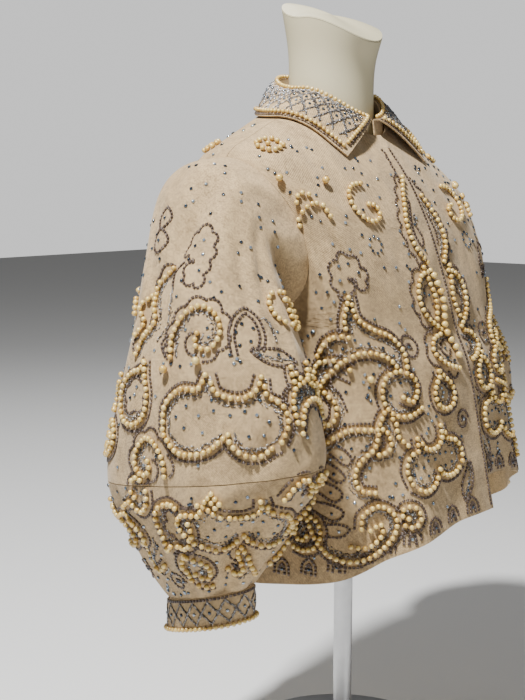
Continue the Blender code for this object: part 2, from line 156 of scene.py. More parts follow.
# creases of the sleeve: from (along, turn) to (along, turn), width and depth in metres
SLEEVE_CREASES = [
    # along0 turn0 along1 turn1 width out
    (0.20, 72.0, 0.50, 84.0, 0.008, -0.0038),
    (0.24, 80.0, 0.46, 90.0, 0.0080, -0.0026),
    (0.16, 30.0, 0.38, -12.0, 0.011, -0.0060),
    (0.13, 12.0, 0.30, -20.0, 0.012, 0.0024),
    (0.33, -18.0, 0.52, -30.0, 0.010, -0.0048),
    (0.20, 50.0, 0.40, 62.0, 0.013, -0.0034),
    (0.34, 66.0, 0.58, 70.0, 0.0080, -0.0022),
    (0.62, 70.0, 0.69, 44.0, 0.0080, -0.0024),
    (0.64, 90.0, 0.69, 74.0, 0.0080, -0.0022),
    (0.26, 88.0, 0.56, 96.0, 0.007, 0.0024),
    (0.30, 62.0, 0.62, 74.0, 0.008, 0.0020),
    (0.24, 330.0, 0.44, 338.0, 0.009, -0.0020),
    (0.50, 340.0, 0.69, 352.0, 0.010, -0.0022),
    (0.56, 50.0, 0.69, 66.0, 0.009, -0.0026),
    (0.60, 20.0, 0.69, 34.0, 0.009, -0.0018),
    (0.72, 2.0, 0.93, 14.0, 0.008, -0.0044),
    (0.71, 34.0, 0.95, 40.0, 0.008, 0.0036),
    (0.72, 66.0, 0.95, 60.0, 0.008, -0.0046),
    (0.71, 90.0, 0.95, 88.0, 0.008, 0.0036),
    (0.72, 320.0, 0.94, 330.0, 0.008, -0.0038),
    (0.24, 200.0, 0.50, 215.0, 0.009, -0.0026),
    (0.30, 240.0, 0.60, 250.0, 0.009, 0.0022),
    (0.72, 215.0, 0.94, 220.0, 0.008, -0.0040),
    (0.72, 270.0, 0.94, 262.0, 0.008, -0.0040),
    (0.88, 100.0, 0.99, 96.0, 0.005, -0.0016),
    (0.88, 10.0, 0.99, 14.0, 0.005, -0.0016),
    (0.88, 50.0, 0.99, 52.0, 0.005, -0.0016),
    (0.88, 300.0, 0.99, 304.0, 0.005, -0.0016),
    (0.88, 240.0, 0.99, 244.0, 0.005, -0.0016),
]
FOLD_RING = (0.058, 0.052, 0.066, 0.691, 0.722, 0.741)
COLLAR_LIFT = 0.0036
COLLAR_EDGE = [
    # angle  down
    (37.0, 0.150),
    (60.0, 0.118),
    (90.0, 0.108),
    (135.0, 0.098),
    (180.0, 0.090),
]
NECK = [
    # side   front  back   z_front z_side z_back
    (0.0490, 0.0450, 0.0530, 0.663, 0.686, 0.698),
    (0.0475, 0.0440, 0.0530, 0.722, 0.730, 0.738),
    (0.0495, 0.0460, 0.0540, 0.751, 0.764, 0.776),
    (0.0565, 0.0530, 0.0610, 0.775, 0.800, 0.825),
]
CAP_DOME = 0.007
CAP_EDGE = 0.0016

base_low, base_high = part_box("base")
SHIFT_Y = 0.5 * (base_low[1] + base_high[1]) - POLE_Y

PEARL = 0.0059
BIG_PEARL = 0.0084
COLLAR_PEARL = 0.0050
STONE = 0.0044
DARK_LONG = 0.0029
DARK_STEP = 0.0040
DARK_APART = 0.00062
SEED = 0.0017
SEED_STEP = 0.00096
SEED_BAND = 0.0056
PATH_STEP = 0.0012
# how far rows lie beside a row of pearls: plus to the left of the stroke
DARK_BESIDE = 0.0064
SEED_BESIDE = -0.0054
SCALLOP_BESIDE = 0.0058
SCALLOP = 0.0052
SCALLOP_PITCH = 0.017
CLOSE_PITCH = 0.016
SECOND_ROW = -0.0056
# rise of a pearl's middle off the cloth, as a share of its size
PEARL_RISE = 0.46
BIG_RISE = 0.62
NEIGHBOUR_GAP = 0.0135
EDGE_ROOM = 0.0035
HEM_STEP = 8.5
FULL_TURN = (0.0, 2 * math.pi)
SLOPE_STEP = 0.006
CREASE = 1.5
# the photo's height in pixels, and the metres that one pixel spans at the camera's target
PHOTO_ROWS = 700
PIXEL = 0.00117
SENSOR = 24.0

# motifs in tenths of their size: x toward the viewer's right, y up. The kinds of stroke are
# p pearls, f pearls with a dark row on the left and a seed band on the right, g the same with
# dark scallops, d dark row, dd two dark rows, c dark scallops, s seed band, t stones, b big
# pearls, z single pearls; a minus sign runs the stroke from its last point to its first
MOTIFS = {
    "ring": [
        ("p", (7, 0), (3, 6), (-4, 6), (-8, 0), (-4, -6), (3, -6), (8, -1)),
        ("z", (-1, 0)),
    ],
    "single": [("b", (0, 0)), ("t", (-6, 6), (5, 7), (-8, -3))],
    "hook": [
        ("p", (-8, -10), (-8, -3), (-3, 3), (4, 5), (9, -1)),
        ("p", (-9, 4), (-8, 9), (-3, 9)),
        ("t", (2, 10), (3, -4)),
    ],
    "cee": [
        ("p", (5, 10), (-1, 10), (-6, 6), (-7, 0), (-4, -6), (1, -9), (7, -8), (8, -3), (4, -1)),
    ],
    "seec": [
        ("g", (-8, -9), (-9, -2), (-6, 5), (0, 8), (6, 5), (8, -1), (5, -6), (0, -5), (0, -1)),
        ("t", (3, 1), (4, -2), (-5, 0)),
    ],
    "star": [
        ("t", (10, 0), (7, 7), (0, 10), (-7, 7), (-10, 0), (-7, -7), (0, -10), (7, -7)),
    ],
    "cloud": [
        ("c", (-9, -3), (-7, 3), (-2, 8), (5, 7), (9, 1), (8, -6), (4, -9), (1, -6), (2, -2), (-2, 0),
         (-6, -5), (-9, -3)),
        ("t", (-6, 1), (-1, 5), (5, 4), (6, -2), (5, -7)),
    ],
    "ogee": [
        ("g-", (-0.2, 10), (-1.5, 8.6), (-2.4, 6.8), (-2.9, 5.0), (-2.5, 3.2), (-1.2, 1.7)),
        ("g-", (-1.0, 1.0), (-2.8, 0.4), (-3.8, -1.4), (-3.4, -3.6), (-1.6, -5.4)),
        ("g-", (-1.4, -5.8), (-3.2, -6.6), (-3.9, -8.4), (-2.6, -10), (-0.6, -10.8)),
        ("d", (-0.8, 7.4), (-1.6, 5.6), (-1.7, 4.2), (-1.0, 3.2), (-0.5, 4.0), (-0.9, 4.8)),
        ("s", (-0.7, 6.2), (-0.9, 5.2)),
        ("c", (-1.2, -3.9), (-2.4, -3.2), (-2.6, -1.8), (-1.8, -0.8), (-1.2, -1.6), (-1.7, -2.4)),
        ("d", (-0.8, -6.6), (-2.1, -7.2), (-2.4, -8.4), (-1.5, -9.2), (-1.0, -8.4)),
        ("t", (-1.2, 5.2), (-1.9, -1.4), (-1.4, -2.9), (-0.9, 0.2), (-1.7, -8.0), (-0.8, -9.8), (-3.5, 6.9),
         (-4.1, 4.4), (-3.6, 2.4), (-4.6, -0.2), (-4.9, -2.6), (-4.4, -7.2)),
        ("b", (-1.8, 2.6), (-2.5, 0.0), (-1.1, -5.0), (-2.9, -9.0)),
    ],
    "leafscroll": [
        ("f", (-10, -2.6), (-8.6, 0.2), (-6, 1.2), (-4.2, 1.0)),
        ("f", (-4.4, 1.6), (-5.2, 4.6), (-4.2, 8.6)),
        ("f", (-3.8, 8.4), (-2.4, 5.0), (1.4, 3.0), (5.4, 1.6), (8.6, -2), (9.6, -6)),
        ("f-", (-9.4, -10), (-7.4, -5.6), (-3.2, -2.8), (1, -2.2), (5, -3.6), (8, -6.6)),
        ("t", (-7.6, -1.6), (-5.2, -1.2), (-8.4, -4.4), (-2.6, 0.6), (0.6, 0), (4, -1), (6.6, -3),
         (-3.6, 4.6), (-6.6, -3.2)),
    ],
    "hookscroll": [
        ("f", (8, -9), (1, -10), (-6, -7), (-9, 0), (-6, 7), (1, 9), (7, 5), (8, -1), (4, -5), (0, -2)),
        ("t", (-5, 0), (1, 4), (3, -1)),
    ],
    "ess": [
        ("f-", (8, 8), (3, 10), (-3, 8), (-4, 3), (0, 0), (4, -3), (4, -8), (-2, -10), (-7, -7)),
        ("d", (8, 4), (3, 5), (1, 3), (5, 0), (8, -4)),
        ("s", (-8, 4), (-6, -1), (-2, -4), (-1, -7)),
        ("t", (-7, 8), (-8, 1), (7, 1), (8, -8), (0, 5), (0, -6)),
    ],
    "comma": [
        ("f", (1.2, -5), (1.4, -2.8), (4.0, -1.6), (6.6, -3.6), (6.2, -7.4), (2.4, -9.8), (-2.6, -9),
         (-5.8, -5), (-6.8, 0), (-5.4, 5), (-2, 8.6), (3, 10)),
        ("f", (3.2, 9.4), (2.6, 7.2), (0.8, 5.4), (-0.2, 3.2), (0.6, 1.0), (3.0, 0.6)),
        ("d-", (-3.8, 5.2), (-1.6, 4.2), (-0.8, 5.2), (-1.8, 6.2), (-3.0, 6.6)),
        ("d-", (-4.8, 2.6), (-2.6, 1.6), (-1.6, 2.6), (-2.8, 3.6), (-4.2, 4.0)),
        ("d-", (-5.2, -0.4), (-2.8, -1.2), (-1.8, 0), (-3, 1.0), (-4.9, 1.2)),
        ("d-", (-4.9, -3.4), (-2.6, -4), (-1.4, -2.8), (-2.6, -1.8), (-5.0, -1.8)),
        ("d-", (-3.4, -6.4), (-1.4, -6.2), (-0.4, -5), (-1.8, -4.4), (-4.2, -4.8)),
        ("p", (2.6, -5.4), (4.2, -4.6), (4.6, -6.4), (2.6, -8), (0, -7.6)),
        ("t", (-2.4, 5.2), (-3.2, 2.7), (-3.4, 0), (-3, -3), (-1.8, -5.4), (1.4, 7.4), (0, -1), (5, -9),
         (1.4, 3)),
    ],
    "cartouche": [
        ("f", (-9.4, -3), (-10, 0.4), (-8.2, 3.2), (-5.4, 3.6), (-4.7, 6.2)),
        ("f", (-4.0, 6.0), (-2.4, 3.4), (1.4, 2.8), (4.0, 4.4), (4.6, 7.0)),
        ("f", (5.2, 6.6), (6.0, 3.8), (8.8, 2.6), (10, -0.2), (9.2, -3.2)),
        ("f", (8.8, -3.8), (6, -5.4), (3.2, -5.4), (1.0, -4.0), (0.4, -2.6)),
        ("f", (-0.2, -3.2), (-2.6, -5.6), (-6.2, -6.0), (-9.0, -3.8)),
        ("t", (-6.8, 0.8), (-4.6, -0.4), (-2.4, 0.6), (0.2, 0.2), (2.4, 1.0), (4.6, 0.6), (6.8, -0.2),
         (-6.4, -2.4), (-3.6, -2.8), (3.4, -2.6), (6.0, -2.4), (5.0, 3.0), (-3.0, 2.2), (-8.0, -1.0)),
    ],
    "paisley": [
        ("f", (6.4, 8.4), (6.4, 4), (7.0, -1), (5.2, -6), (0.6, -8.6), (-4.6, -6.4), (-6.8, -1.2), (-4.4, 4),
         (0.6, 6.0), (4, 6.6), (6.0, 8.8)),
        ("c", (3.4, 3.0), (3.8, -1.6), (1.6, -4.6), (-2, -4.0), (-3.4, -0.8), (-1.6, 2.2), (3.0, 3.2)),
        ("t", (0.6, -0.8), (-1.4, -1.6), (1.4, 1.4)),
    ],
    "arches": [
        ("dd", (-9, -6), (-8, 0), (-5, 3), (-2, 0), (-1, -6)),
        ("dd", (1, -6), (2, 0), (5, 3), (8, 0), (9, -6)),
        ("p", (-10, 5), (-6, 9), (-2, 7), (0, 3)),
        ("p", (1, 5), (3, 8), (7, 9), (10, 5)),
        ("t", (-5, -3), (5, -3)),
    ],
    "hemarch": [
        ("dd", (-9, -8), (-8, 1), (0, 7), (8, 1), (9, -8)),
        ("d", (-4, -8), (-3, -2), (0, 1), (3, -2), (4, -8)),
        ("t", (0, -4)),
    ],
    "chain": [
        ("d", (0, 10), (4, 6), (-0.6, 2), (-4, 6.6), (0, 10)),
        ("d", (-0.6, 2), (4, -2.6), (-1, -8), (-5, -2), (-0.6, 2)),
        ("t", (0, 6), (-1, -2.6)),
    ],
    "ribbon": [
        ("c", (1, -10), (-3, -6), (0, -1), (-5, 2), (-3, 8), (3, 9), (5, 3), (4, -4), (3, -9), (1, -10)),
        ("d", (-5, -2), (-8, -5), (-7, -10)),
        ("t", (1, 6), (2, 1), (-2, 4), (2, -5)),
    ],
    "vine": [
        ("g-", (3, 10), (0, 7), (-1, 4), (1, 1), (3, -2), (1, -5), (-2, -7), (-3, -10)),
        ("p", (-4, 3), (-6, 0), (-4, -3), (-5, -6)),
        ("s", (5, 6), (6, 2), (7, -2), (5, -6)),
        ("t", (-3, 6), (-2, -1), (5, -8), (7, 4)),
    ],
    "arch": [
        ("dd", (-7, -9), (-7, -2), (-5, 4), (0, 8), (5, 4), (6, -3), (4, -9)),
        ("s", (7, 4), (10, 0), (10, -6)),
        ("t", (-2, 2), (2, 0), (0, -5), (-4, -6)),
    ],
    "diamond": [("z", (0, 8), (-4, 4), (4, 4), (-8, 0), (0, 0), (8, 0), (-4, -4), (4, -4), (0, -8))],
    "spiral": [
        ("d", (10, 2), (5, 9), (-4, 8), (-9, 0), (-4, -8), (4, -6), (5, 0), (0, 3), (-2, -1)),
        ("t", (1, 0)),
    ],
    "twirl": [
        ("f-", (-9, -6), (-3, -3), (3, -6), (8, -2), (7, 5), (1, 7), (-2, 3), (1, 0)),
        ("t", (-6, 2), (4, 2)),
    ],
    "wave": [
        ("f", (-10, -3), (-8, 2), (-4, 4), (-1, 1), (0, -3)),
        ("f", (0.6, -2), (2, 2), (6, 4), (9, 1), (10, -3)),
        ("t", (-5, 0), (5, 0)),
    ],
    "seedleaf": [
        ("s", (-8, -6), (-3, -3), (3, 1), (8, 7)),
        ("d", (-9, -7), (-6, 1), (1, 5), (9, 8), (5, -1), (-2, -6), (-9, -7)),
    ],
    "flame": [
        ("f", (-9, -4), (-4, -7), (1, -5), (1, 1), (-2, 5), (1, 10)),
        ("p-", (2.5, 9), (5, 5), (5, -1), (8, -6)),
        ("t", (2, 3), (3, -1), (-4, -3)),
    ],
}

# right front: motif, down, angle, size in metres, turn in degrees, mirror
FRONT_LAYOUT = [
    ("ring", 0.222, 74.0, 0.017, 0, 1),
    ("single", 0.300, 64.0, 0.010, 0, 1),
    ("single", 0.253, 46.0, 0.010, 0, 1),
    ("hook", 0.335, 51.0, 0.021, -8, 1),
    ("cee", 0.258, 29.5, 0.023, 8, 1),
    ("star", 0.335, 26.0, 0.009, 0, 1),
    ("cloud", 0.425, 41.0, 0.024, 0, -1),
    ("ogee", 0.388, 1.5, 0.112, 0, 1),
    ("leafscroll", 0.560, 41.0, 0.046, -4, 1),
    ("cartouche", 0.815, 20.0, 0.042, 10, 1),
    ("comma", 0.845, 51.0, 0.068, -4, 1),
    ("hookscroll", 0.668, 31.0, 0.025, 10, 1),
    ("ess", 0.665, 60.0, 0.036, -6, 1),
    ("paisley", 0.680, 13.0, 0.022, 40, 1),
    ("flame", 0.745, 38.5, 0.024, 10, 1),
    ("comma", 0.840, 79.0, 0.058, 0, -1),
    ("ess", 0.600, 80.0, 0.030, 0, -1),
    ("twirl", 0.925, 33.0, 0.017, 15, 1),
    ("hookscroll", 0.905, 66.0, 0.019, 0, -1),
    ("seedleaf", 0.900, 6.5, 0.018, 30, 1),
    ("spiral", 0.560, 22.0, 0.013, 0, -1),
    ("spiral", 0.745, 5.0, 0.010, 0, 1),
    ("single", 0.640, 43.0, 0.008, 0, 1),
]
BACK_LAYOUT = [
    ("single", 0.150, 14.0, 0.010, 0, 1),
    ("cee", 0.225, 32.0, 0.023, 0, 1),
    ("ring", 0.235, 66.0, 0.013, 0, -1),
    ("star", 0.300, 18.0, 0.009, 0, 1),
    ("hook", 0.330, 47.0, 0.021, 0, -1),
    ("ogee", 0.400, 0.5, 0.112, 0, 1),
    ("cloud", 0.430, 34.0, 0.027, 0, 1),
    ("ribbon", 0.520, 58.0, 0.026, 0, 1),
    ("leafscroll", 0.590, 35.0, 0.046, 0, -1),
    ("cartouche", 0.830, 17.0, 0.038, -8, 1),
    ("comma", 0.840, 46.0, 0.066, 0, -1),
    ("comma", 0.820, 74.0, 0.056, 0, 1),
    ("paisley", 0.700, 12.0, 0.022, 40, -1),
    ("ess", 0.680, 60.0, 0.034, 0, 1),
    ("hookscroll", 0.700, 30.0, 0.020, 0, -1),
    ("spiral", 0.610, 13.0, 0.012, 0, 1),
    ("hookscroll", 0.920, 62.0, 0.018, 0, 1),
    ("twirl", 0.930, 31.0, 0.016, 0, 1),
    ("seedleaf", 0.700, 5.0, 0.018, 35, 1),
    ("hookscroll", 0.930, 7.0, 0.014, 0, 1),
    ("single", 0.760, 0.0, 0.008, 0, 1),
]
# sleeve: motif, along, turn, size, turn of the motif, mirror
SLEEVE_LAYOUT = [
    ("chain", 0.275, 345.0, 0.026, 8, 1),
    ("ribbon", 0.315, 19.0, 0.028, 0, 1),
    ("vine", 0.415, 344.0, 0.046, 6, 1),
    ("seec", 0.455, 22.0, 0.029, 0, 1),
    ("single", 0.512, 22.0, 0.009, 0, 1),
    ("single", 0.525, 2.0, 0.009, 0, 1),
    ("arch", 0.445, 56.0, 0.026, 0, 1),
    ("cartouche", 0.600, 38.0, 0.062, -3, 1),
    ("seec", 0.655, 352.0, 0.024, 20, -1),
    ("paisley", 0.560, 336.0, 0.034, 10, 1),
    ("leafscroll", 0.570, 99.0, 0.034, 0, -1),
    ("cartouche", 0.800, 50.0, 0.048, 4, 1),
    ("paisley", 0.800, 8.0, 0.033, 170, 1),
    ("diamond", 0.735, 29.0, 0.010, 0, 1),
    ("twirl", 0.722, 342.0, 0.024, 0, 1),
    ("hookscroll", 0.900, 20.0, 0.019, 0, 1),
    ("ess", 0.835, 330.0, 0.030, 0, -1),
    ("flame", 0.900, 62.0, 0.020, 0, 1),
    ("wave", 0.730, 90.0, 0.026, 0, 1),
    ("spiral", 0.930, 356.0, 0.011, 0, 1),
    ("spiral", 0.850, 88.0, 0.014, 0, 1),
    ("cee", 0.380, 92.0, 0.018, 0, 1),
    ("seedleaf", 0.500, 74.0, 0.020, 20, -1),
    ("spiral", 0.480, 2.0, 0.010, 0, 1),
]
# the back of the sleeve, laid once
SLEEVE_BACK_LAYOUT = [
    ("cloud", 0.320, 285.0, 0.022, 0, 1),
    ("hook", 0.400, 308.0, 0.021, 0, 1),
    ("seec", 0.470, 262.0, 0.026, 0, -1),
    ("single", 0.400, 268.0, 0.009, 0, 1),
    ("comma", 0.590, 300.0, 0.044, 0, 1),
    ("leafscroll", 0.610, 262.0, 0.036, 0, -1),
    ("cartouche", 0.800, 282.0, 0.042, 0, 1),
    ("paisley", 0.800, 238.0, 0.026, 160, -1),
    ("diamond", 0.732, 262.0, 0.010, 0, 1),
    ("hookscroll", 0.905, 262.0, 0.017, 0, 1),
    ("spiral", 0.910, 296.0, 0.012, 0, 1),
]


# surfaces

def smooth(x):
    """3 x squared minus 2 x cubed, held between 0 and 1."""
    x = np.clip(x, 0.0, 1.0)
    return x * x * (3.0 - 2.0 * x)


def table(rows, x):
    """Smooth curve through the columns of a table: cubic pieces with slopes from the neighbours."""
    rows = np.array(rows, dtype=float)
    keys = rows[:, 0]
    values = rows[:, 1:]
    slope = np.gradient(values, keys, axis=0)
    x = np.asarray(x, dtype=float)
    i = np.clip(np.searchsorted(keys, x, side="right") - 1, 0, len(keys) - 2)
    h = keys[i + 1] - keys[i]
    t = ((x - keys[i]) / h)[..., None]
    h = h[..., None]
    a = values[i]
    b = values[i + 1]
    return ((1 + 2 * t) * (1 - t) ** 2 * a + t * (1 - t) ** 2 * h * slope[i]
            + t * t * (3 - 2 * t) * b + t * t * (t - 1) * h * slope[i + 1])


def both(a, b):
    """Two values as float arrays of one shape."""
    return np.broadcast_arrays(np.asarray(a, float), np.asarray(b, float))


def ring(side, front, back, z_front, z_side, z_back, square, angle):
    """Oval with its own front and back depth, fuller at the corners, and heights by cos squared."""
    s = np.sin(angle)
    c = np.cos(angle)
    ahead = c > 0
    x = -side * s * (1 + square * c * c)
    y = -np.where(ahead, front, back) * c * (1 + square * s * s)
    z = RAISE + z_side + np.where(ahead, z_front - z_side, z_back - z_side) * c * c
    return np.stack([x, y, z], axis=-1)


def troughs(a, b, rows, a_scale, b_scale, wrap):
    """Sum of soft ridges and troughs: depth times exp(-(distance to the segment / width) squared)."""
    out = np.zeros(a.shape)
    for a0, b0, a1, b1, width, depth in rows:
        db = b - b0
        if wrap:
            db = (db + 180.0) % 360.0 - 180.0
        u = (a - a0) * a_scale
        v = np.radians(db) * b_scale
        du = (a1 - a0) * a_scale
        dv = math.radians(b1 - b0) * b_scale
        t = np.clip((u * du + v * dv) / (du * du + dv * dv), 0, 1)
        far = (u - t * du) ** 2 + (v - t * dv) ** 2
        fade = np.sqrt(np.clip(1.2 - np.abs(2 * t - 1), 0, 1))
        out = out + CREASE * depth * np.exp(-far / (width * width)) * fade
    return out


def bell(down, angle):
    """Body surface: a ring of the BELL table at each place down, pushed out level by the folds."""
    down, angle = both(down, angle)
    side, front, back, zf, zs, zb, square = np.moveaxis(table(BELL, down), -1, 0)
    p = ring(side, front, back, zf, zs, zb, square, angle)
    out = np.zeros(down.shape)
    degrees = np.degrees(np.abs(angle))
    for at, width, depth, start in BELL_FOLDS:
        grown = smooth((down - start) / (1 - start)) ** 1.3
        out = out + depth * np.exp(-((degrees - at) / width) ** 2) * grown
    out = out + 0.0035 * np.exp(-((degrees - 50) / 9) ** 2) * np.exp(-((down - 0.45) / 0.09) ** 2)
    side_degrees = np.where(angle < 0, degrees * 0.97 + 2.0, degrees)
    out = out + troughs(down, side_degrees, BELL_CREASES, 0.50, 0.18, False)
    level = np.stack([p[..., 0], p[..., 1], 0 * p[..., 0]], axis=-1)
    level = level / np.maximum(np.linalg.norm(level, axis=-1, keepdims=True), 1e-6)
    return p + level * out[..., None]


def normal_of(surface, a, b, step=0.003):
    """Cross product of the slopes along the two values, at unit length."""
    da = surface(a + step, b) - surface(a - step, b)
    db = surface(a, b + step) - surface(a, b - step)
    n = np.cross(da, db)
    return n / np.maximum(np.linalg.norm(n, axis=-1, keepdims=True), 1e-9)


def settle(p):
    """Leans the wearer's left shoulder in and down, and puts the middle over the origin."""
    p = np.array(p, dtype=float)
    share = smooth(p[..., 0] / 0.16) * np.exp(-((p[..., 2] - RAISE - 0.645) / 0.075) ** 2)
    p[..., 0] -= p[..., 0] * LEAN_NARROW * share
    p[..., 2] -= LEAN_DROP * share
    p[..., 1] += SHIFT_Y
    return p


def armhole_reach(down):
    """Share of the armhole's reach from the side line: a half ellipse over its height."""
    return np.sqrt(np.clip(1 - ((down - ARM_MID) / ARM_HALF) ** 2, 0, 1))


def seam_angle(down, metres):
    return metres / table(BELL, down)[..., 0]


def side_edge(down, reach):
    return np.radians(90.0 - reach * armhole_reach(down)) - seam_angle(down, SEAM)


def left_hem(angle):
    return 1 - 0.095 * smooth(1 - (np.degrees(np.abs(angle)) - 15) / 85)


def right_lap(angle):
    return LAP_OUT * smooth((24 - np.degrees(angle)) / 16)


def right_point(down, angle):
    """Right front: the bell, lifted over the left front near the middle."""
    p = bell(down, angle)
    n = -normal_of(bell, np.clip(down, 0.004, 0.996), angle)
    return settle(p + n * right_lap(angle)[..., None])


def left_point(down, angle):
    """Left front: the bell with its hem drawn up toward the middle. The angle is minus."""
    share = smooth((down - ARM_LOW) / (1 - ARM_LOW))
    return settle(bell(down - share * (1 - left_hem(angle)), angle))


def back_point(down, angle):
    """Back: the bell with angles past 180 carried on from minus 180."""
    return settle(bell(down, np.where(angle > math.pi, angle - 2 * math.pi, angle)))


def armhole_curve(turn):
    """Armhole on the bell: turn 0 at the shoulder, 90 at the front, 180 under the arm."""
    down = ARM_MID - ARM_HALF * np.cos(turn)
    s = np.sin(turn)
    reach = np.where(s > 0, ARM_FRONT, ARM_BACK)
    return bell(down, np.radians(90 - reach * s))


def sleeve_shape(along, turn):
    """Sleeve surface: the armhole curve turns into the rings of the table within the cap."""
    along, turn = both(along, turn)
    out, y, z, thick, deep, tilt, pitch = np.moveaxis(table(SLEEVE, along), -1, 0)
    tilt = np.radians(tilt)
    c = np.cos(turn)
    s = np.sin(turn)
    a = thick * c * (1 + 0.10 * s * s)
    b = deep * s * (1 + 0.06 * c * c)
    p = np.stack([-out - a * np.cos(tilt), y - b, RAISE + z + a * np.sin(tilt) + pitch * b], axis=-1)
    lift = np.zeros(along.shape)
    degrees = np.degrees(turn) % 360
    for at, width, depth, first, last in SLEEVE_FOLDS:
        gap = (degrees - at + 180) % 360 - 180
        middle = 0.5 * (first + last) if last < 0.9 else 0.86
        length = 0.5 * (last - first) if last < 0.9 else 0.14
        lift = lift + depth * np.exp(-(gap / width) ** 2) * np.exp(-((along - middle) / length) ** 2 * 1.6)
    lift = lift + troughs(along, degrees, SLEEVE_CREASES, 0.50, 0.09, True)
    lift = lift * smooth((along - 0.05) / 0.15)
    level = np.stack([-c * np.cos(tilt), -s, c * np.sin(tilt)], axis=-1)
    p = p + level * lift[..., None]
    w = smooth(along / 0.30)[..., None]
    arm = armhole_curve(turn)
    reach = 0.26 * along
    arm = arm + np.stack([-0.0013 - reach, 0 * reach, -0.10 * reach], axis=-1)
    return arm * (1 - w) + p * w


def sleeve_right(along, turn):
    return settle(sleeve_shape(along, turn))


def sleeve_left(along, turn):
    """The right sleeve mirrored, with the arm swung back."""
    along, turn = both(along, turn)
    q = sleeve_shape(along, turn)
    q[..., 0] = -q[..., 0]
    q[..., 1] += LEFT_SWING * smooth((along - 0.02) / 0.50)
    return settle(q)


def cuff_point(left):
    """Cuff surface: an upright oval band, from 0 at its top to 1 at its lower edge."""
    def point(fall, turn):
        fall, turn = both(fall, turn)
        out, y, z, thick, deep, tilt, pitch = table(SLEEVE, np.array(1.0))
        c = np.cos(turn)
        s = np.sin(turn)
        height = RAISE + CUFF_TOP + (CUFF_LOW - CUFF_TOP) * fall
        swell = 0.0006 + 0.0008 * np.sin(math.pi * fall)
        x = -out - (thick + swell) * c * (1 + 0.10 * s * s)
        yy = y - (deep + swell) * s * (1 + 0.06 * c * c)
        p = np.stack([x, yy, height + pitch * deep * s * (1 + 0.06 * c * c)], axis=-1)
        if left:
            p[..., 0] = -p[..., 0]
            p[..., 1] += LEFT_SWING
        return settle(p)
    return point


def fold_line(angle):
    return ring(*FOLD_RING, 0.0, angle)


def collar_point(across, around):
    """Fall of the collar: a curve from the fold line, over a bend, to the edge on the bell."""
    across, around = both(across, around)
    near = np.radians(4.0)
    far = np.radians(COLLAR_EDGE[0][0])
    a0 = math.pi - np.abs(around) * (math.pi - near)
    a1 = math.pi - np.abs(around) * (math.pi - far)
    side = np.where(around < 0, -1.0, 1.0)
    down = table(COLLAR_EDGE, np.degrees(a1))[..., 0]
    top = fold_line(a0)
    low = bell(down, a1) - normal_of(bell, down, a1) * COLLAR_LIFT
    level = np.stack([-np.sin(a0), -np.cos(a0), 0 * a0], axis=-1)
    bend = top + level * 0.013 + np.array([0, 0, 0.004])
    t = across[..., None]
    p = top * (1 - t) ** 2 + bend * 2 * t * (1 - t) + low * t * t
    p[..., 0] = p[..., 0] * side
    return settle(p)


# meshes

def new_object(name, mesh, material, smooth_faces=True):
    """Links a finished mesh as an object at the origin, with its material."""
    obj = bpy.data.objects.new(name, mesh)
    bpy.context.scene.collection.objects.link(obj)
    mesh.materials.append(material)
    if smooth_faces:
        mesh.shade_smooth()
    return obj


def fill_mesh(name, verts, faces):
    """Mesh from arrays of points and of equal faces."""
    mesh = bpy.data.meshes.new(name)
    count = len(faces)
    side = faces.shape[1]
    mesh.vertices.add(len(verts))
    mesh.vertices.foreach_set("co", np.ascontiguousarray(verts, dtype=np.float32).ravel())
    mesh.loops.add(count * side)
    mesh.loops.foreach_set("vertex_index", np.ascontiguousarray(faces, dtype=np.int32).ravel())
    mesh.polygons.add(count)
    mesh.polygons.foreach_set("loop_start", np.arange(0, count * side, side, dtype=np.int32))
    mesh.update(calc_edges=True)
    mesh.validate()
    return mesh


def quads_of(index):
    """One four sided face for each cell of a grid of point numbers."""
    cells = [index[:-1, :-1], index[:-1, 1:], index[1:, 1:], index[1:, :-1]]
    return np.stack(cells, axis=-1).reshape(-1, 4)


def strip(one, other):
    """Row of four sided faces between two lines of point numbers."""
    return np.stack([one[:-1], one[1:], other[1:], other[:-1]], axis=-1)


def turn_out(verts, faces):
    """Faces in the order that makes the signed volume of the closed form positive."""
    a, b, c = verts[faces[:, 0]], verts[faces[:, 1]], verts[faces[:, 2]]
    d = verts[faces[:, -1]]
    volume = np.einsum("ij,ij->i", a, np.cross(b, c)).sum() + np.einsum("ij,ij->i", a, np.cross(c, d)).sum()
    return faces if volume > 0 else faces[:, ::-1]


def shell_mesh(name, outer, inner, closed, uv):
    """Closed thin wall between two grids of points, with rims and the panel's own UV map."""
    rows, cols = outer.shape[:2]
    count = rows * cols
    verts = np.concatenate([outer.reshape(-1, 3), inner.reshape(-1, 3)])
    index = np.arange(count).reshape(rows, cols)
    if closed:
        index = np.concatenate([index, index[:, :1]], axis=1)
    top = quads_of(index)
    low = top[:, ::-1] + count
    parts = [top, low, strip(index[0] + count, index[0]), strip(index[-1], index[-1] + count)]
    grid = np.arange(uv.shape[0] * uv.shape[1]).reshape(uv.shape[:2])
    corner = quads_of(grid)
    uv_parts = [corner, corner[:, ::-1], strip(grid[0], grid[0]), strip(grid[-1], grid[-1])]
    if not closed:
        start, end = index[:, 0], index[:, -1]
        parts += [strip(start, start + count), strip(end + count, end)]
        uv_parts += [strip(grid[:, 0], grid[:, 0]), strip(grid[:, -1], grid[:, -1])]
    faces = np.concatenate(parts)
    corners = np.concatenate(uv_parts)
    turned = turn_out(verts, faces)
    if turned is not faces:
        corners = corners[:, ::-1]
    mesh = fill_mesh(name, verts, turned)
    layer = mesh.uv_layers.new(name="cloth")
    values = uv.reshape(-1, 2)[corners.ravel()]
    layer.uv.foreach_set("vector", values.astype(np.float32).ravel())
    return mesh


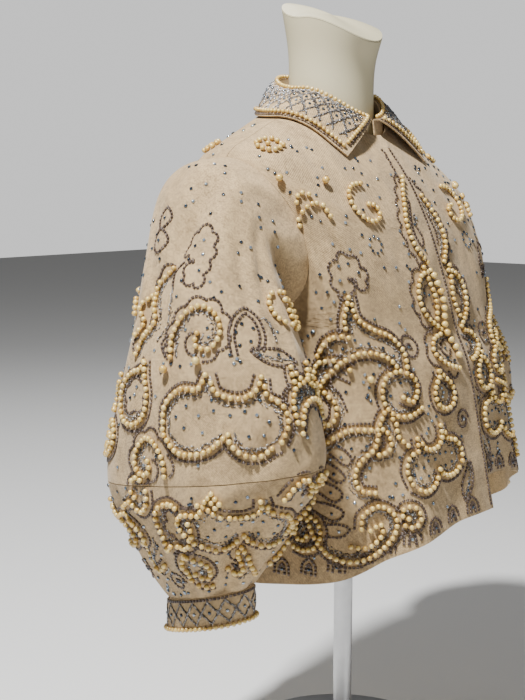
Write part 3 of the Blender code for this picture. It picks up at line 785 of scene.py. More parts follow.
def flat_map(points, start):
    """UV in metres: u is the length along each row from its start column, v that down the middle column."""
    across = np.linalg.norm(np.diff(points, axis=1), axis=-1)
    along = np.linalg.norm(np.diff(points[:, points.shape[1] // 2], axis=0), axis=-1)
    u = np.concatenate([np.zeros((len(points), 1)), np.cumsum(across, axis=1)], axis=1)
    v = np.concatenate([[0.0], np.cumsum(along)])
    column = round(start * (points.shape[1] - 1))
    return np.stack([u - u[:, column:column + 1], -v[:, None] + 0 * u], axis=-1)


def cloth_piece(name, surface, a, b, closed, flip, replaced, start=0.5):
    """One cut piece of cloth on its solid's form, as a thin closed shell with a UV map in metres."""
    mid = surface(a, b)
    n = normal_of(surface, np.clip(a, 0.004, 0.996) + 0 * b, b + 0 * a) * flip
    whole = np.concatenate([mid, mid[:, :1]], axis=1) if closed else mid
    mesh = shell_mesh(name, mid + n * CLOTH / 2, mid - n * CLOTH / 2, closed, flat_map(whole, start))
    obj = new_object(name, mesh, bpy.data.materials["twill"])
    mesh.set_sharp_from_angle(angle=math.radians(50))
    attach(obj, "root")
    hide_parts(*replaced)
    return obj


# beading

def spline(points, closed=False, steps=14):
    """Smooth curve through given points, as cubic pieces with slopes from the neighbours."""
    p = np.array(points, dtype=float)
    if closed:
        p = np.concatenate([p[-2:-1], p, p[1:2]])
    else:
        p = np.concatenate([2 * p[:1] - p[1:2], p, 2 * p[-1:] - p[-2:-1]])
    t = np.linspace(0, 1, steps, endpoint=False)[:, None, None]
    a, b, c, d = p[:-3], p[1:-2], p[2:-1], p[3:]
    q = 0.5 * (2 * b + (c - a) * t + (2 * a - 5 * b + 4 * c - d) * t * t + (3 * b - a - 3 * c + d) * t ** 3)
    q = q.transpose(1, 0, 2).reshape(-1, p.shape[1])
    return np.concatenate([q, p[-2:-1]])


def far_from(points, others, gap, chunk=400):
    """True for each point that has none of the others within the gap."""
    keep = np.ones(len(points), dtype=bool)
    if len(others):
        for start in range(0, len(points), chunk):
            part = points[start:start + chunk, None] - others[None]
            keep[start:start + chunk] = (part * part).sum(axis=-1).min(axis=1) > gap * gap
    return keep


def unit(v):
    return v / np.maximum(np.linalg.norm(v, axis=-1, keepdims=True), 1e-9)


class Beading:
    """The beads of one piece of cloth, kept by kind until they are joined into meshes.

    The surface is read once onto a grid; a place on it is a pair of values (a, b), and points
    between the grid's points are worked out from the four around them.
    """

    def __init__(self, surface, flip, a_range, b_range, seed, inside, wrap=False, near=()):
        self.a_range = a_range
        self.b_range = b_range
        a = np.linspace(*a_range, 260)[:, None]
        b = np.linspace(*b_range, 420)[None, :]
        points = surface(a + 0 * b, b + 0 * a)
        normals = normal_of(surface, np.clip(a, 0.006, 0.994) + 0 * b, b + 0 * a) * flip
        self.grid = np.concatenate([points, normals], axis=-1)
        self.inside = inside
        self.wrap = wrap
        self.near = near
        self.random = np.random.default_rng(seed)
        self.store = {"pearl": [], "dark": [], "seed": [], "stone": []}

    def lift(self, ab):
        """Point and outward normal at each pair of values."""
        rows, cols = self.grid.shape[:2]
        b = ab[:, 1]
        if self.wrap:
            b = b % (2 * math.pi)
        u = np.clip((ab[:, 0] - self.a_range[0]) / (self.a_range[1] - self.a_range[0]), 0, 1) * (rows - 1.001)
        v = np.clip((b - self.b_range[0]) / (self.b_range[1] - self.b_range[0]), 0, 1) * (cols - 1.001)
        i = u.astype(int)
        j = v.astype(int)
        u = (u - i)[:, None]
        v = (v - j)[:, None]
        g = self.grid
        one = g[i, j] * (1 - u) + g[i + 1, j] * u
        other = g[i, j + 1] * (1 - u) + g[i + 1, j + 1] * u
        q = one * (1 - v) + other * v
        return q[:, :3], unit(q[:, 3:])

    def differences(self, ab):
        """How the point moves over two steps of a, and over two steps of b."""
        h = SLOPE_STEP
        da = self.lift(ab + (h, 0))[0] - self.lift(ab - (h, 0))[0]
        db = self.lift(ab + (0, h))[0] - self.lift(ab - (0, h))[0]
        return da, db

    def solve(self, ab, v):
        """Changes of a and b that move each place by the tangent vector v: least squares on the slopes."""
        da, db = [d / (2 * SLOPE_STEP) for d in self.differences(ab)]
        aa, cross, bb = (da * da).sum(-1), (da * db).sum(-1), (db * db).sum(-1)
        va, vb = (v * da).sum(-1), (v * db).sum(-1)
        size = np.maximum(aa * bb - cross * cross, 1e-9)
        return np.stack([bb * va - cross * vb, aa * vb - cross * va], axis=-1) / size[:, None]

    def even(self, ab, step):
        """The same path with its places one step apart."""
        p = self.lift(ab)[0]
        length = np.concatenate([[0], np.cumsum(np.linalg.norm(np.diff(p, axis=0), axis=1))])
        count = max(1, int(round(length[-1] / step)))
        at = np.linspace(0, length[-1], count + 1)
        return np.stack([np.interp(at, length, ab[:, k]) for k in (0, 1)], axis=-1)

    def aside(self, ab, metres):
        """The path moved to its own left, seen from outside."""
        p, n = self.lift(ab)
        left = unit(np.cross(n, np.gradient(p, axis=0)))
        return ab + self.solve(ab, left * np.reshape(metres, (-1, 1)))

    def put(self, kind, ab, rise, size, sway=0.0):
        """Keeps a bead at each place that lies inside the piece and clear of its neighbours."""
        p, n = self.lift(ab)
        t = np.gradient(p, axis=0) if len(p) > 1 else np.full((1, 3), 0.5)
        t = unit(t - (t * n).sum(axis=-1, keepdims=True) * n)
        turn = (self.random.normal(0, 1, len(p)) * sway)[:, None]
        t = t * np.cos(turn) + np.cross(n, t) * np.sin(turn)
        tone = self.random.random(len(p))
        size = np.broadcast_to(np.asarray(size, float), (len(p),))
        keep = self.inside(ab)
        keep &= far_from(p + n * 0.003, self.near, NEIGHBOUR_GAP)
        if kind == "pearl":
            for laid in self.store["pearl"]:
                keep &= far_from(p, laid[0], 0.80 * size.mean())
        centre = p + n * (CLOTH / 2 + np.reshape(rise, (-1, 1)))
        self.store[kind].append(tuple(x[keep] for x in (p, centre, n, size, t, tone)))

    def pearls(self, ab, size=PEARL):
        places = self.even(ab, size * 1.10)
        sizes = size * (0.95 + 0.08 * self.random.random(len(places)))
        self.put("pearl", places, PEARL_RISE * size, sizes)

    def dark(self, ab, offset=0.0, scallop=0.0, pitch=SCALLOP_PITCH):
        """A dark row: pairs of short blocks on the path, or in bumps to the left of it."""
        path = self.even(ab, PATH_STEP)
        if len(path) < 4:
            return
        s = np.linspace(0, 1, len(path))
        bumps = max(1, round(len(path) * PATH_STEP / pitch))
        path = self.aside(path, offset + scallop * np.abs(np.sin(math.pi * s * bumps)) ** 0.7)
        middle = self.even(path, DARK_STEP)
        if len(middle) < 3:
            return
        for side in (-DARK_APART, DARK_APART):
            self.put("dark", self.aside(middle, side), 0.0005, DARK_LONG, 0.05)

    def seeds(self, ab, offset=0.0, width=SEED_BAND):
        """A band of small silver and graphite beads, laid at random within its width."""
        path = self.even(ab, SEED_STEP)
        if len(path) < 6:
            return
        swell = np.sin(math.pi * np.linspace(0.06, 0.94, len(path))) ** 0.6
        shift = offset + width * swell * (self.random.random(len(path)) - 0.5)
        self.put("seed", self.aside(path, shift), 0.0004, SEED, 0.6)

    def stroke(self, kind, ab):
        """Lays one stroke of a motif; the kinds are named above MOTIFS."""
        if kind[-1] == "-":
            kind = kind[:-1]
            ab = ab[::-1]
        if kind in ("p", "f", "g"):
            self.pearls(ab)
        rows = {"f": [(DARK_BESIDE,)], "g": [(SCALLOP_BESIDE, SCALLOP)], "d": [()], "dd": [(), (SECOND_ROW,)],
                "c": [(0.0, SCALLOP, CLOSE_PITCH)]}
        for row in rows.get(kind, []):
            self.dark(ab, *row)
        if kind in ("f", "g"):
            self.seeds(ab, SEED_BESIDE)
        if kind == "s":
            self.seeds(ab)

    def spots(self, kind, ab):
        if kind == "t":
            self.put("stone", ab, 0.0, STONE, 3.0)
        else:
            size, rise = (BIG_PEARL, BIG_RISE) if kind == "b" else (PEARL, PEARL_RISE)
            self.put("pearl", ab, rise * size, size)

    def motif(self, name, a, b, size, turn, mirror):
        """Lays a motif around (a, b), upright and in true size: x to the viewer's right, y up the cloth."""
        middle = np.array([[a, math.radians(b)]])
        n = self.lift(middle)[1]
        up = unit(np.array([[0.0, 0.0, 1.0]]) - n * n[:, 2:])
        right = np.cross(up, n)
        c = math.cos(math.radians(turn))
        s = math.sin(math.radians(turn))
        for kind, *points in MOTIFS[name]:
            points = np.array(points, dtype=float) * size / 10
            line = kind[0] not in "tbz"
            if line:
                points = spline(points, np.allclose(points[0], points[-1]))
            x = points[:, :1] * mirror
            y = points[:, 1:]
            v = (x * c - y * s) * right + (x * s + y * c) * up
            ab = middle + self.solve(np.repeat(middle, len(v), axis=0), v)
            if line:
                self.stroke(kind, ab[::-1] if mirror < 0 else ab)
            else:
                self.spots(kind, ab)

    def scatter(self, a_range, b_range, count):
        """Single stones over the cloth, where no pearl lies near."""
        a = a_range[0] + (a_range[1] - a_range[0]) * self.random.random(count)
        b = np.radians(b_range[0] + (b_range[1] - b_range[0]) * self.random.random(count))
        ab = np.stack([a, b], axis=-1)
        p = self.lift(ab)[0]
        for q in self.store["pearl"] + self.store["stone"]:
            ab, p = [x[far_from(p, q[0], 0.008)] for x in (ab, p)]
        self.spots("t", ab)

    def finish(self, word):
        """Joins the beads of each kind; dark rows, seeds and stones end where a pearl sits."""
        pearls = np.concatenate([q[0] for q in self.store["pearl"]] or [np.zeros((0, 3))])
        kinds = (
            ("pearl", pearl_shape(), 0.0, True),
            ("dark", rod_shape(0.42, 4), 0.0034, False),
            ("seed", rod_shape(0.62, 3), 0.0030, False),
            ("stone", stone_shape(4), 0.0040, False),
        )
        for kind, template, gap, smooth_faces in kinds:
            if not self.store[kind]:
                continue
            p, centre, n, size, t, tone = [np.concatenate(x) for x in zip(*self.store[kind])]
            if gap:
                keep = far_from(p, pearls, gap)
                centre, n, size, t, tone = [x[keep] for x in (centre, n, size, t, tone)]
            if len(centre):
                bead_object(kind + "s_" + word, template, (centre, n, size, t, tone), kind, smooth_faces)


def pearl_shape(turns=8, bands=6):
    """Ball one unit across from circles of latitude, with a point at each end."""
    lat = np.linspace(0, math.pi, bands + 1)[1:-1]
    lon = np.linspace(0, 2 * math.pi, turns, endpoint=False)
    x = np.sin(lat)[:, None] * np.cos(lon)[None]
    y = np.sin(lat)[:, None] * np.sin(lon)[None]
    z = np.cos(lat)[:, None] + 0 * lon[None]
    verts = np.concatenate([np.stack([x, y, z], axis=-1).reshape(-1, 3), [[0, 0, 1], [0, 0, -1]]]) * 0.5
    faces = []
    low = (bands - 2) * turns
    for k in range(turns):
        m = (k + 1) % turns
        faces.append((len(verts) - 2, k, m))
        faces.append((len(verts) - 1, low + m, low + k))
        for r in range(bands - 2):
            a, b = r * turns + k, r * turns + m
            faces.append((a, a + turns, b + turns))
            faces.append((a, b + turns, b))
    return verts, np.array(faces)


def rod_shape(width, sides=4):
    """Short rod along its own x, one unit long, `width` units thick, with flat ends."""
    turn = np.linspace(0, 2 * math.pi, sides, endpoint=False) + math.pi / sides
    y = np.cos(turn) * width * 0.71
    z = np.sin(turn) * width * 0.71
    verts = np.concatenate([np.stack([0 * y - 0.5, y, z], -1), np.stack([0 * y + 0.5, y, z], -1)])
    faces = []
    for k in range(sides):
        m = (k + 1) % sides
        faces.append((k, m, sides + m))
        faces.append((k, sides + m, sides + k))
    for k in range(1, sides - 1):
        faces.append((0, k + 1, k))
        faces.append((sides, sides + k, sides + k + 1))
    faces = np.array(faces)
    return verts, turn_out(verts, faces)


def stone_shape(sides):
    """Cut stone one unit across: a table, a sloped crown, a girdle and a flat back."""
    turn = np.linspace(0, 2 * math.pi, sides, endpoint=False)
    circle = np.stack([np.cos(turn), np.sin(turn)], axis=-1)
    rings = []
    for radius, height in ((0.26, 0.36), (0.50, 0.14), (0.46, 0.0)):
        rings.append(np.concatenate([circle * radius, np.full((sides, 1), height)], axis=1))
    verts = np.concatenate(rings)
    faces = []
    for k in range(sides):
        m = (k + 1) % sides
        for r in range(2):
            a, b = r * sides + k, r * sides + m
            faces.append((a, a + sides, b + sides))
            faces.append((a, b + sides, b))
    for k in range(1, sides - 1):
        faces.append((0, k, k + 1))
        faces.append((2 * sides, 2 * sides + k + 1, 2 * sides + k))
    return verts, turn_out(verts, np.array(faces))


def bead_object(name, template, places, material, smooth_faces):
    """Joins copies of a small closed form: x to the tangent, z to the normal, scaled by the size."""
    centre, n, size, t, tone = places
    shape, tris = template
    frame_of = np.stack([t, np.cross(n, t), n], axis=1)
    verts = np.einsum("vk,mkj->mvj", shape, frame_of) * size[:, None, None] + centre[:, None, :]
    count = len(shape)
    faces = (tris[None] + (np.arange(len(centre)) * count)[:, None, None]).reshape(-1, 3)
    mesh = fill_mesh(name, verts.reshape(-1, 3), faces)
    layer = mesh.attributes.new("tone", "FLOAT", "POINT")
    layer.data.foreach_set("value", np.repeat(tone, count).astype(np.float32))
    obj = new_object(name, mesh, bpy.data.materials[material], smooth_faces)
    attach(obj, "root")
    return obj


# materials

def node(tree, kind, inputs=None, **settings):
    """Adds a shader node; an input given a socket is linked to it, any other value is set on it."""
    made = tree.nodes.new(kind)
    for key, value in settings.items():
        setattr(made, key, value)
    for key, value in (inputs or {}).items():
        if isinstance(value, bpy.types.NodeSocket):
            tree.links.new(value, made.inputs[key])
        else:
            made.inputs[key].default_value = value
    return made


def noise(tree, vector, **values):
    """Factor of a noise texture over a vector."""
    return node(tree, "ShaderNodeTexNoise", {"Vector": vector, **values}).outputs["Fac"]


def cloth_effect():
    """Node group: twill lines, slubs and mottling from the cloth's UV map; the mottling in the colour is
    partly the yarn's own colour and partly painted shade of small wrinkles.
    """
    group = bpy.data.node_groups.new("cloth_effect", "ShaderNodeTree")
    for name, way, kind in (("Bump", "INPUT", "Float"), ("Colour A", "INPUT", "Color"),
                            ("Colour B", "INPUT", "Color"), ("Colour", "OUTPUT", "Color"),
                            ("Normal", "OUTPUT", "Vector")):
        group.interface.new_socket(name, in_out=way, socket_type="NodeSocket" + kind)
    given = node(group, "NodeGroupInput").outputs
    uv = node(group, "ShaderNodeUVMap", uv_map="cloth").outputs["UV"]
    twill = node(group, "ShaderNodeTexWave", {"Vector": uv, "Scale": 300.0, "Distortion": 1.2, "Detail": 2.0,
                                              "Detail Scale": 2.0},
                 wave_type="BANDS", bands_direction="DIAGONAL").outputs["Fac"]
    yarn = noise(group, uv, Scale=520.0, Detail=4.0, Roughness=0.7)
    slub = noise(group, uv, Scale=160.0, Detail=4.0)
    cloud = noise(group, uv, Scale=22.0, Detail=3.0)
    stretch = node(group, "ShaderNodeMapping", {"Vector": uv, "Scale": (1.8, 0.9, 1.0)}).outputs["Vector"]
    drape = noise(group, stretch, Scale=13.0, Detail=1.0)
    height = node(group, "ShaderNodeMath", {0: twill, 1: 0.22, 2: yarn},
                  operation="MULTIPLY_ADD").outputs["Value"]
    soft = node(group, "ShaderNodeBump", {"Strength": 0.80, "Distance": 0.012,
                                          "Height": drape}).outputs["Normal"]
    bump = node(group, "ShaderNodeBump", {"Strength": given["Bump"], "Distance": 0.0004, "Height": height,
                                          "Normal": soft}).outputs["Normal"]
    # slub and cloud mottling of the colour: partly the yarn's own colour, partly painted shade of small
    # wrinkles
    mottle_and_painted_shade = node(group, "ShaderNodeMath", {0: slub, 1: cloud}, operation="ADD").outputs["Value"]
    third = node(group, "ShaderNodeMath", {0: height, 1: 2.6, 2: mottle_and_painted_shade},
                 operation="MULTIPLY_ADD").outputs["Value"]
    spread = node(group, "ShaderNodeMapRange", {"Value": third, "From Min": 1.95, "From Max": 3.15})
    mix = node(group, "ShaderNodeMix", {"Factor": spread.outputs["Result"], "A": given["Colour A"],
                                        "B": given["Colour B"]}, data_type="RGBA")
    node(group, "NodeGroupOutput", {"Colour": mix.outputs["Result"], "Normal": bump})
    return group


def plain_material(name, rough, **sockets):
    """Principled material with its constant values on the sockets: its tree and its shader."""
    mat = bpy.data.materials.new(name)
    mat.use_nodes = True
    shader = mat.node_tree.nodes["Principled BSDF"]
    shader.inputs["Roughness"].default_value = rough
    for key, value in sockets.items():
        shader.inputs[key.replace("_", " ")].default_value = value
    return mat.node_tree, shader


def ramp_of(tree, factor, stops):
    """Colour of a ramp with the given stops, read at a factor."""
    ramp = node(tree, "ShaderNodeValToRGB", {"Fac": factor})
    while len(ramp.color_ramp.elements) < len(stops):
        ramp.color_ramp.elements.new(0.5)
    for element, (at, colour) in zip(ramp.color_ramp.elements, stops):
        element.position = at
        element.color = (*colour, 1.0)
    return ramp.outputs["Color"]


def tone_colours(tree, stops):
    """Colour of a bead by its own tone, through a colour ramp."""
    tone = node(tree, "ShaderNodeAttribute", attribute_name="tone").outputs["Fac"]
    return ramp_of(tree, tone, stops)


def mottled_material(name, rough, stops, noise_values, **sockets):
    """Plain material with its colour from a noise in object coordinates."""
    tree, shader = plain_material(name, rough, **sockets)
    place = node(tree, "ShaderNodeTexCoord").outputs["Object"]
    tree.links.new(ramp_of(tree, noise(tree, place, **noise_values), stops), shader.inputs["Base Color"])


def build_materials(sizes):
    tree, shader = plain_material("twill", 0.86, Sheen_Weight=0.25, Sheen_Roughness=0.5)
    shader.inputs["Sheen Tint"].default_value = (0.95, 0.86, 0.72, 1.0)
    c = sizes.cloth_colour
    effect = node(tree, "ShaderNodeGroup", node_tree=cloth_effect())
    effect.inputs["Bump"].default_value = 0.8
    effect.inputs["Colour A"].default_value = (c[0] * 0.36, c[1] * 0.34, c[2] * 0.32, 1.0)
    effect.inputs["Colour B"].default_value = (c[0] * 1.32, c[1] * 1.33, c[2] * 1.34, 1.0)
    tree.links.new(effect.outputs["Colour"], shader.inputs["Base Color"])
    tree.links.new(effect.outputs["Normal"], shader.inputs["Normal"])

    tree, shader = plain_material("pearl", 0.22, Coat_Weight=1.0, Coat_Roughness=0.18)
    c = sizes.pearl_colour
    tones = tone_colours(tree, [(0.0, (c[0] * 0.88, c[1] * 0.78, c[2] * 0.62)), (0.45, c),
                                (1.0, (min(1, c[0] * 1.08), c[1] * 1.14, c[2] * 1.4))])
    # painted shade: each pearl's colour is darkened toward its rim, where it turns away from the view
    painted_rim_shade_mask = node(tree, "ShaderNodeLayerWeight", {"Blend": 0.50}).outputs["Facing"]
    depth = node(tree, "ShaderNodeMix", {"Factor": painted_rim_shade_mask, "A": tones, "B": (0.48, 0.33, 0.15, 1.0)},
                 data_type="RGBA", blend_type="MULTIPLY")
    tree.links.new(depth.outputs["Result"], shader.inputs["Base Color"])

    small = (
        ("dark", 0.32, {},
         [(0.0, (0.045, 0.026, 0.018)), (0.7, (0.095, 0.060, 0.042)), (1.0, (0.20, 0.15, 0.12))]),
        ("seed", 0.28, {"Metallic": 0.6},
         [(0.0, (0.06, 0.05, 0.045)), (0.5, (0.20, 0.18, 0.165)), (1.0, (0.70, 0.68, 0.66))]),
        ("stone", 0.06, {"Metallic": 0.7, "Coat_Weight": 0.6},
         [(0.0, (0.02, 0.035, 0.06)), (0.6, (0.09, 0.13, 0.18)), (1.0, (0.46, 0.54, 0.62))]),
    )
    for name, rough, sockets, stops in small:
        tree, shader = plain_material(name, rough, **sockets)
        tree.links.new(tone_colours(tree, stops), shader.inputs["Base Color"])

    c = sizes.form_colour
    mottled_material("form_plastic", 0.42, [(0.3, (c[0] * 0.93, c[1] * 0.92, c[2] * 0.88)), (0.7, c)],
                     {"Scale": 9.0, "Detail": 5.0}, Coat_Weight=0.15)
    mottled_material("stand_metal", 0.34, [(0.0, (0.46, 0.46, 0.47)), (1.0, (0.62, 0.62, 0.62))],
                     {"Scale": 60.0}, Metallic=1.0)
    tree, shader = plain_material("floor", 0.9)
    shader.inputs["Base Color"].default_value = (0.86, 0.86, 0.85, 1.0)


# pieces

def panel_rows(count_top, count_arm, count_low):
    """Places down the bell, closer together at the ends of the armhole."""
    arm = ARM_MID - ARM_HALF * np.cos(np.linspace(0, math.pi, count_arm))
    top = np.linspace(0, ARM_TOP, count_top)[:-1]
    low = np.linspace(ARM_LOW, 1.0, count_low)[1:]
    return np.concatenate([top, arm, low])[:, None]


def build_cloth():
    down = panel_rows(22, 28, 40)
    across = np.linspace(0, 1, 54)[None, :]

    def spread(start, end, steps):
        return start + (end - start) * steps

    angle = spread(-seam_angle(down, LAP_RIGHT), side_edge(down, ARM_FRONT), across)
    cloth_piece("cloth_front_right", right_point, down, angle, False, -1,
                ["front_right"], 0.0)
    angle = spread(-side_edge(down, ARM_FRONT), seam_angle(down, LAP_LEFT), across)
    cloth_piece("cloth_front_left", left_point, down, angle, False, -1,
                ["front_left"], 1.0)
    wide = np.linspace(0, 1, 92)[None, :]
    edge = side_edge(down, ARM_BACK)
    angle = spread(math.pi - edge, math.pi + edge, wide)
    cloth_piece("cloth_back", back_point, down, angle, False, -1, ["back"])


def build_sleeves():
    turn = np.linspace(-math.pi, math.pi, 85)[:-1][None, :]
    for word, surface, flip in (("right", sleeve_right, 1), ("left", sleeve_left, -1)):
        along = np.linspace(0, ELBOW - 0.0008, 66)[:, None]
        cloth_piece("cloth_sleeve_upper_" + word, surface, along, turn, True, flip,
                    ["sleeve_upper_" + word])
        along = np.linspace(ELBOW + 0.0008, 0.999, 48)[:, None]
        cloth_piece("cloth_sleeve_lower_" + word, surface, along, turn, True, flip,
                    ["sleeve_lower_" + word])
        fall = np.linspace(0, 1, 14)[:, None]
        point = cuff_point(word == "left")
        cloth_piece("cloth_cuff_" + word, point, fall, turn, True, flip,
                    ["cuff_" + word])


def build_collar():
    across = np.linspace(0, 1, 22)[:, None]
    around = np.linspace(-1, 1, 140)
    around = (0.5 * np.sin(around * math.pi / 2) + 0.5 * around)[None, :]
    cloth_piece("cloth_collar", collar_point, across, around, False, 1,
                ["collar"])

    def stand(rise, angle):
        """Collar stand: straight up from inside the neckline to just inside the fold line."""
        rise, angle = both(rise, angle)
        level = np.stack([-np.sin(angle), -np.cos(angle), 0 * angle], axis=-1)
        low = ring(*BELL[0][1:], angle) - level * 0.0021 - np.array([0, 0, 0.002])
        high = fold_line(angle) - level * 0.0015 - np.array([0, 0, 0.0003])
        return settle(low * (1 - rise[..., None]) + high * rise[..., None])

    rise = np.linspace(0, 1, 8)[:, None]
    angle = np.radians(np.linspace(6, 354, 120))[None, :]
    cloth_piece("cloth_collar_stand", stand, rise, angle, False, 1, ["collar_stand"])


def loft(name, rings, material, replaced):
    """Closed solid through rings from top to bottom, with a fan of triangles at each end."""
    rings = np.array(rings)
    count = rings.shape[1]
    verts = rings.reshape(-1, 3)
    index = np.arange(len(verts)).reshape(rings.shape[:2])
    index = np.concatenate([index, index[:, :1]], axis=1)
    quads = quads_of(index)
    tris = np.concatenate([quads[:, [0, 1, 2]], quads[:, [0, 2, 3]]])
    verts = np.concatenate([verts, rings[0].mean(axis=0)[None], rings[-1].mean(axis=0)[None]])
    top, low = len(verts) - 2, len(verts) - 1
    first, last = index[0], index[-1]
    fan = np.stack([np.full(count, top), first[1:], first[:-1]], axis=-1)
    end = np.stack([np.full(count, low), last[:-1], last[1:]], axis=-1)
    faces = turn_out(verts, np.concatenate([tris, fan, end]))
    mesh = fill_mesh(name, verts, faces)
    obj = new_object(name, mesh, bpy.data.materials[material])
    mesh.set_sharp_from_angle(angle=math.radians(40))
    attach(obj, "root")
    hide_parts(*replaced)
    return obj


def form_gap(down, angle):
    """How far the form lies inside the cloth: close on the shoulders and bust, free elsewhere."""
    degrees = np.degrees(np.abs(angle))
    near_neck = 0.0110 * smooth(1.15 - down / 0.11)
    # more than in the part's source, to leave room for the creases that only the shells have
    shoulder = 0.0034
    chest = 0.004 * smooth((down - 0.30) / 0.2)
    armside = 0.010 * smooth((down - 0.24) / 0.12) * np.exp(-((degrees - 90) / 38) ** 2)
    waist = 0.030 * smooth((down - 0.64) / 0.16)
    return shoulder + near_neck + chest + armside + waist


def plain_bell(down, angle):
    """The bare rings of the bell, without the folds and creases of the cloth."""
    side, front, back, zf, zs, zb, square = np.moveaxis(table(BELL, down), -1, 0)
    return ring(side, front, back, zf, zs, zb, square, angle)


def build_form():
    """Dress form: neck rings above rings set in from the bell, and a cap on the neck."""
    angle = np.linspace(0, 2 * math.pi, 97)[:-1]
    signed = np.where(angle > math.pi, angle - 2 * math.pi, angle)
    torso = []
    for down in np.linspace(0.05, 0.78, 44):
        d = np.full(angle.shape, down)
        n = -normal_of(plain_bell, d, signed)
        gap = form_gap(d, signed) + 0.0012 * smooth((down - 0.3) / 0.1)
        torso.append(plain_bell(d, signed) - n * gap[:, None])
    neck_rows = np.array([(k, *row) for k, row in enumerate(NECK)])
    steps = np.linspace(len(NECK) - 1, 0, 26)
    rings = []
    for row in table(neck_rows, steps):
        rings.append(ring(*row, 0.0, angle))
    rings += torso
    last = torso[-1].copy()
    middle = last.mean(axis=0)
    for shrink, height in ((0.97, 0.012), (0.95, 0.006), (0.93, 0.002), (0.91, 0.0)):
        low = last.copy()
        low[:, :2] = middle[:2] + (low[:, :2] - middle[:2]) * shrink
        low[:, 2] = TORSO_BOTTOM + height
        rings.append(low)
    loft("form_body", settle(np.array(rings)), "form_plastic", ["dress_form"])
    top = rings[0]
    middle = top.mean(axis=0)
    cap = []
    for scale in (0.12, 0.3, 0.5, 0.68, 0.82, 0.92, 0.975, 1.0):
        p = middle + (top - middle) * scale
        p[:, 2] += 0.0004 + CAP_EDGE + CAP_DOME * (1 - scale ** 2.2)
        cap.append(p)
    bottom = top.copy()
    bottom[:, 2] += 0.0004
    cap.append(bottom)
    loft("form_cap", settle(np.array(cap)), "form_plastic", ["neck_cap"])


def build_stand():
    """Pole and base: circles stacked along the pole's axis."""
    turn = np.linspace(0, 2 * math.pi, 97)[:-1]

    def circle(radius, z):
        y = POLE_Y + SHIFT_Y + radius * np.sin(turn)
        return np.stack([radius * np.cos(turn), y, z + 0 * turn], axis=-1)

    loft("stand_pole", [circle(POLE_RADIUS, TORSO_BOTTOM - 0.0004), circle(POLE_RADIUS, BASE_THICK + 0.0004)],
         "stand_metal", ["pole"])
    loft("stand_base", [circle(BASE_RADIUS - 0.004, BASE_THICK),
                        circle(BASE_RADIUS - 0.0012, BASE_THICK - 0.0012),
                        circle(BASE_RADIUS, BASE_THICK - 0.004), circle(BASE_RADIUS, 0.0)],
         "stand_metal", ["base"])


def collar_clear(down, angle):
    """True below the collar's edge, with room for a pearl."""
    edge = table(COLLAR_EDGE, np.clip(np.degrees(np.abs(angle)), COLLAR_EDGE[0][0], 180))[..., 0]
    near_opening = np.degrees(np.abs(angle)) < COLLAR_EDGE[0][0]
    return down > np.where(near_opening, 0.06, edge + 0.020)


def inside_panel(down, angle, arm, front_angle):
    """True on a body panel, short of its armhole, side seam, hem and the collar over it."""
    keep = angle < side_edge(down, arm) - seam_angle(down, EDGE_ROOM)
    return keep & (down < 0.990) & collar_clear(down, front_angle)


def inside_right(ab):
    down, angle = ab[:, 0], ab[:, 1]
    return inside_panel(down, angle, ARM_FRONT, angle) & (angle > -seam_angle(down, LAP_RIGHT - 0.0015))


def inside_left(ab):
    down, angle = ab[:, 0], -ab[:, 1]
    return inside_panel(down, angle, ARM_FRONT, angle) & (angle > seam_angle(down, LAP_RIGHT + 0.004))


def inside_back(ab):
    down, angle = ab[:, 0], np.abs(ab[:, 1] - math.pi)
    return inside_panel(down, angle, ARM_BACK, math.pi - angle)


def inside_sleeve(ab):
    along = ab[:, 0]
    return (along > 0.035) & (along < 0.982) & (np.abs(along - ELBOW) > EDGE_ROOM)


def everywhere(ab):
    return (ab[:, 0] > 0.0) & (ab[:, 0] < 1.0)


def coarse(surface, a_range, b_range):
    """A coarse set of points of a surface, to keep beads clear of it."""
    a = np.linspace(*a_range, 44)[:, None]
    b = np.linspace(*b_range, 60)[None, :]
    return surface(a + 0 * b, b + 0 * a).reshape(-1, 3)


def bead_front(word, surface, side, inside, sleeve, seed):
    """One front: motifs, pearl columns by the opening, an edge row, a hem border and stones."""
    near = coarse(sleeve, (0.10, 0.95), FULL_TURN)
    limits = (-0.35, 1.75) if side > 0 else (-1.75, 0.35)
    beads = Beading(surface, -1, (0.0, 1.0), limits, seed, inside, near=near)
    for name, down, angle, size, turn, mirror in FRONT_LAYOUT:
        beads.motif(name, down, side * angle, size, turn * side, mirror * side)
    rows = np.linspace(0.36, 0.60, 40)
    column = np.stack([rows, side * (0.055 + 0.02 * np.sin(rows * 40))], axis=-1)
    beads.pearls(column, BIG_PEARL)
    beads.pearls(column[:26] + (0.0, side * 0.055))
    if side > 0:
        edge = np.linspace(0.06, 0.985, 120)
        beads.dark(np.stack([edge, -seam_angle(edge, LAP_RIGHT - 0.004)], axis=-1))
    top = np.linspace(0.07, 0.17, 20)
    beads.dark(np.stack([top, side * (0.09 + 0 * top)], axis=-1), 0.0, 0.003, 0.012)
    hem_border(beads, (6, 86), side)
    beads.scatter((0.12, 0.50), (2 * side, 80 * side), 84)
    beads.scatter((0.50, 0.97), (4 * side, 86 * side), 190)
    beads.finish(word)


def hem_border(beads, limits, side):
    """Small arches along the hem, one every HEM_STEP degrees."""
    for angle in np.arange(limits[0], limits[1], HEM_STEP):
        beads.motif("hemarch", 0.966, side * angle, 0.010, 0, 1)


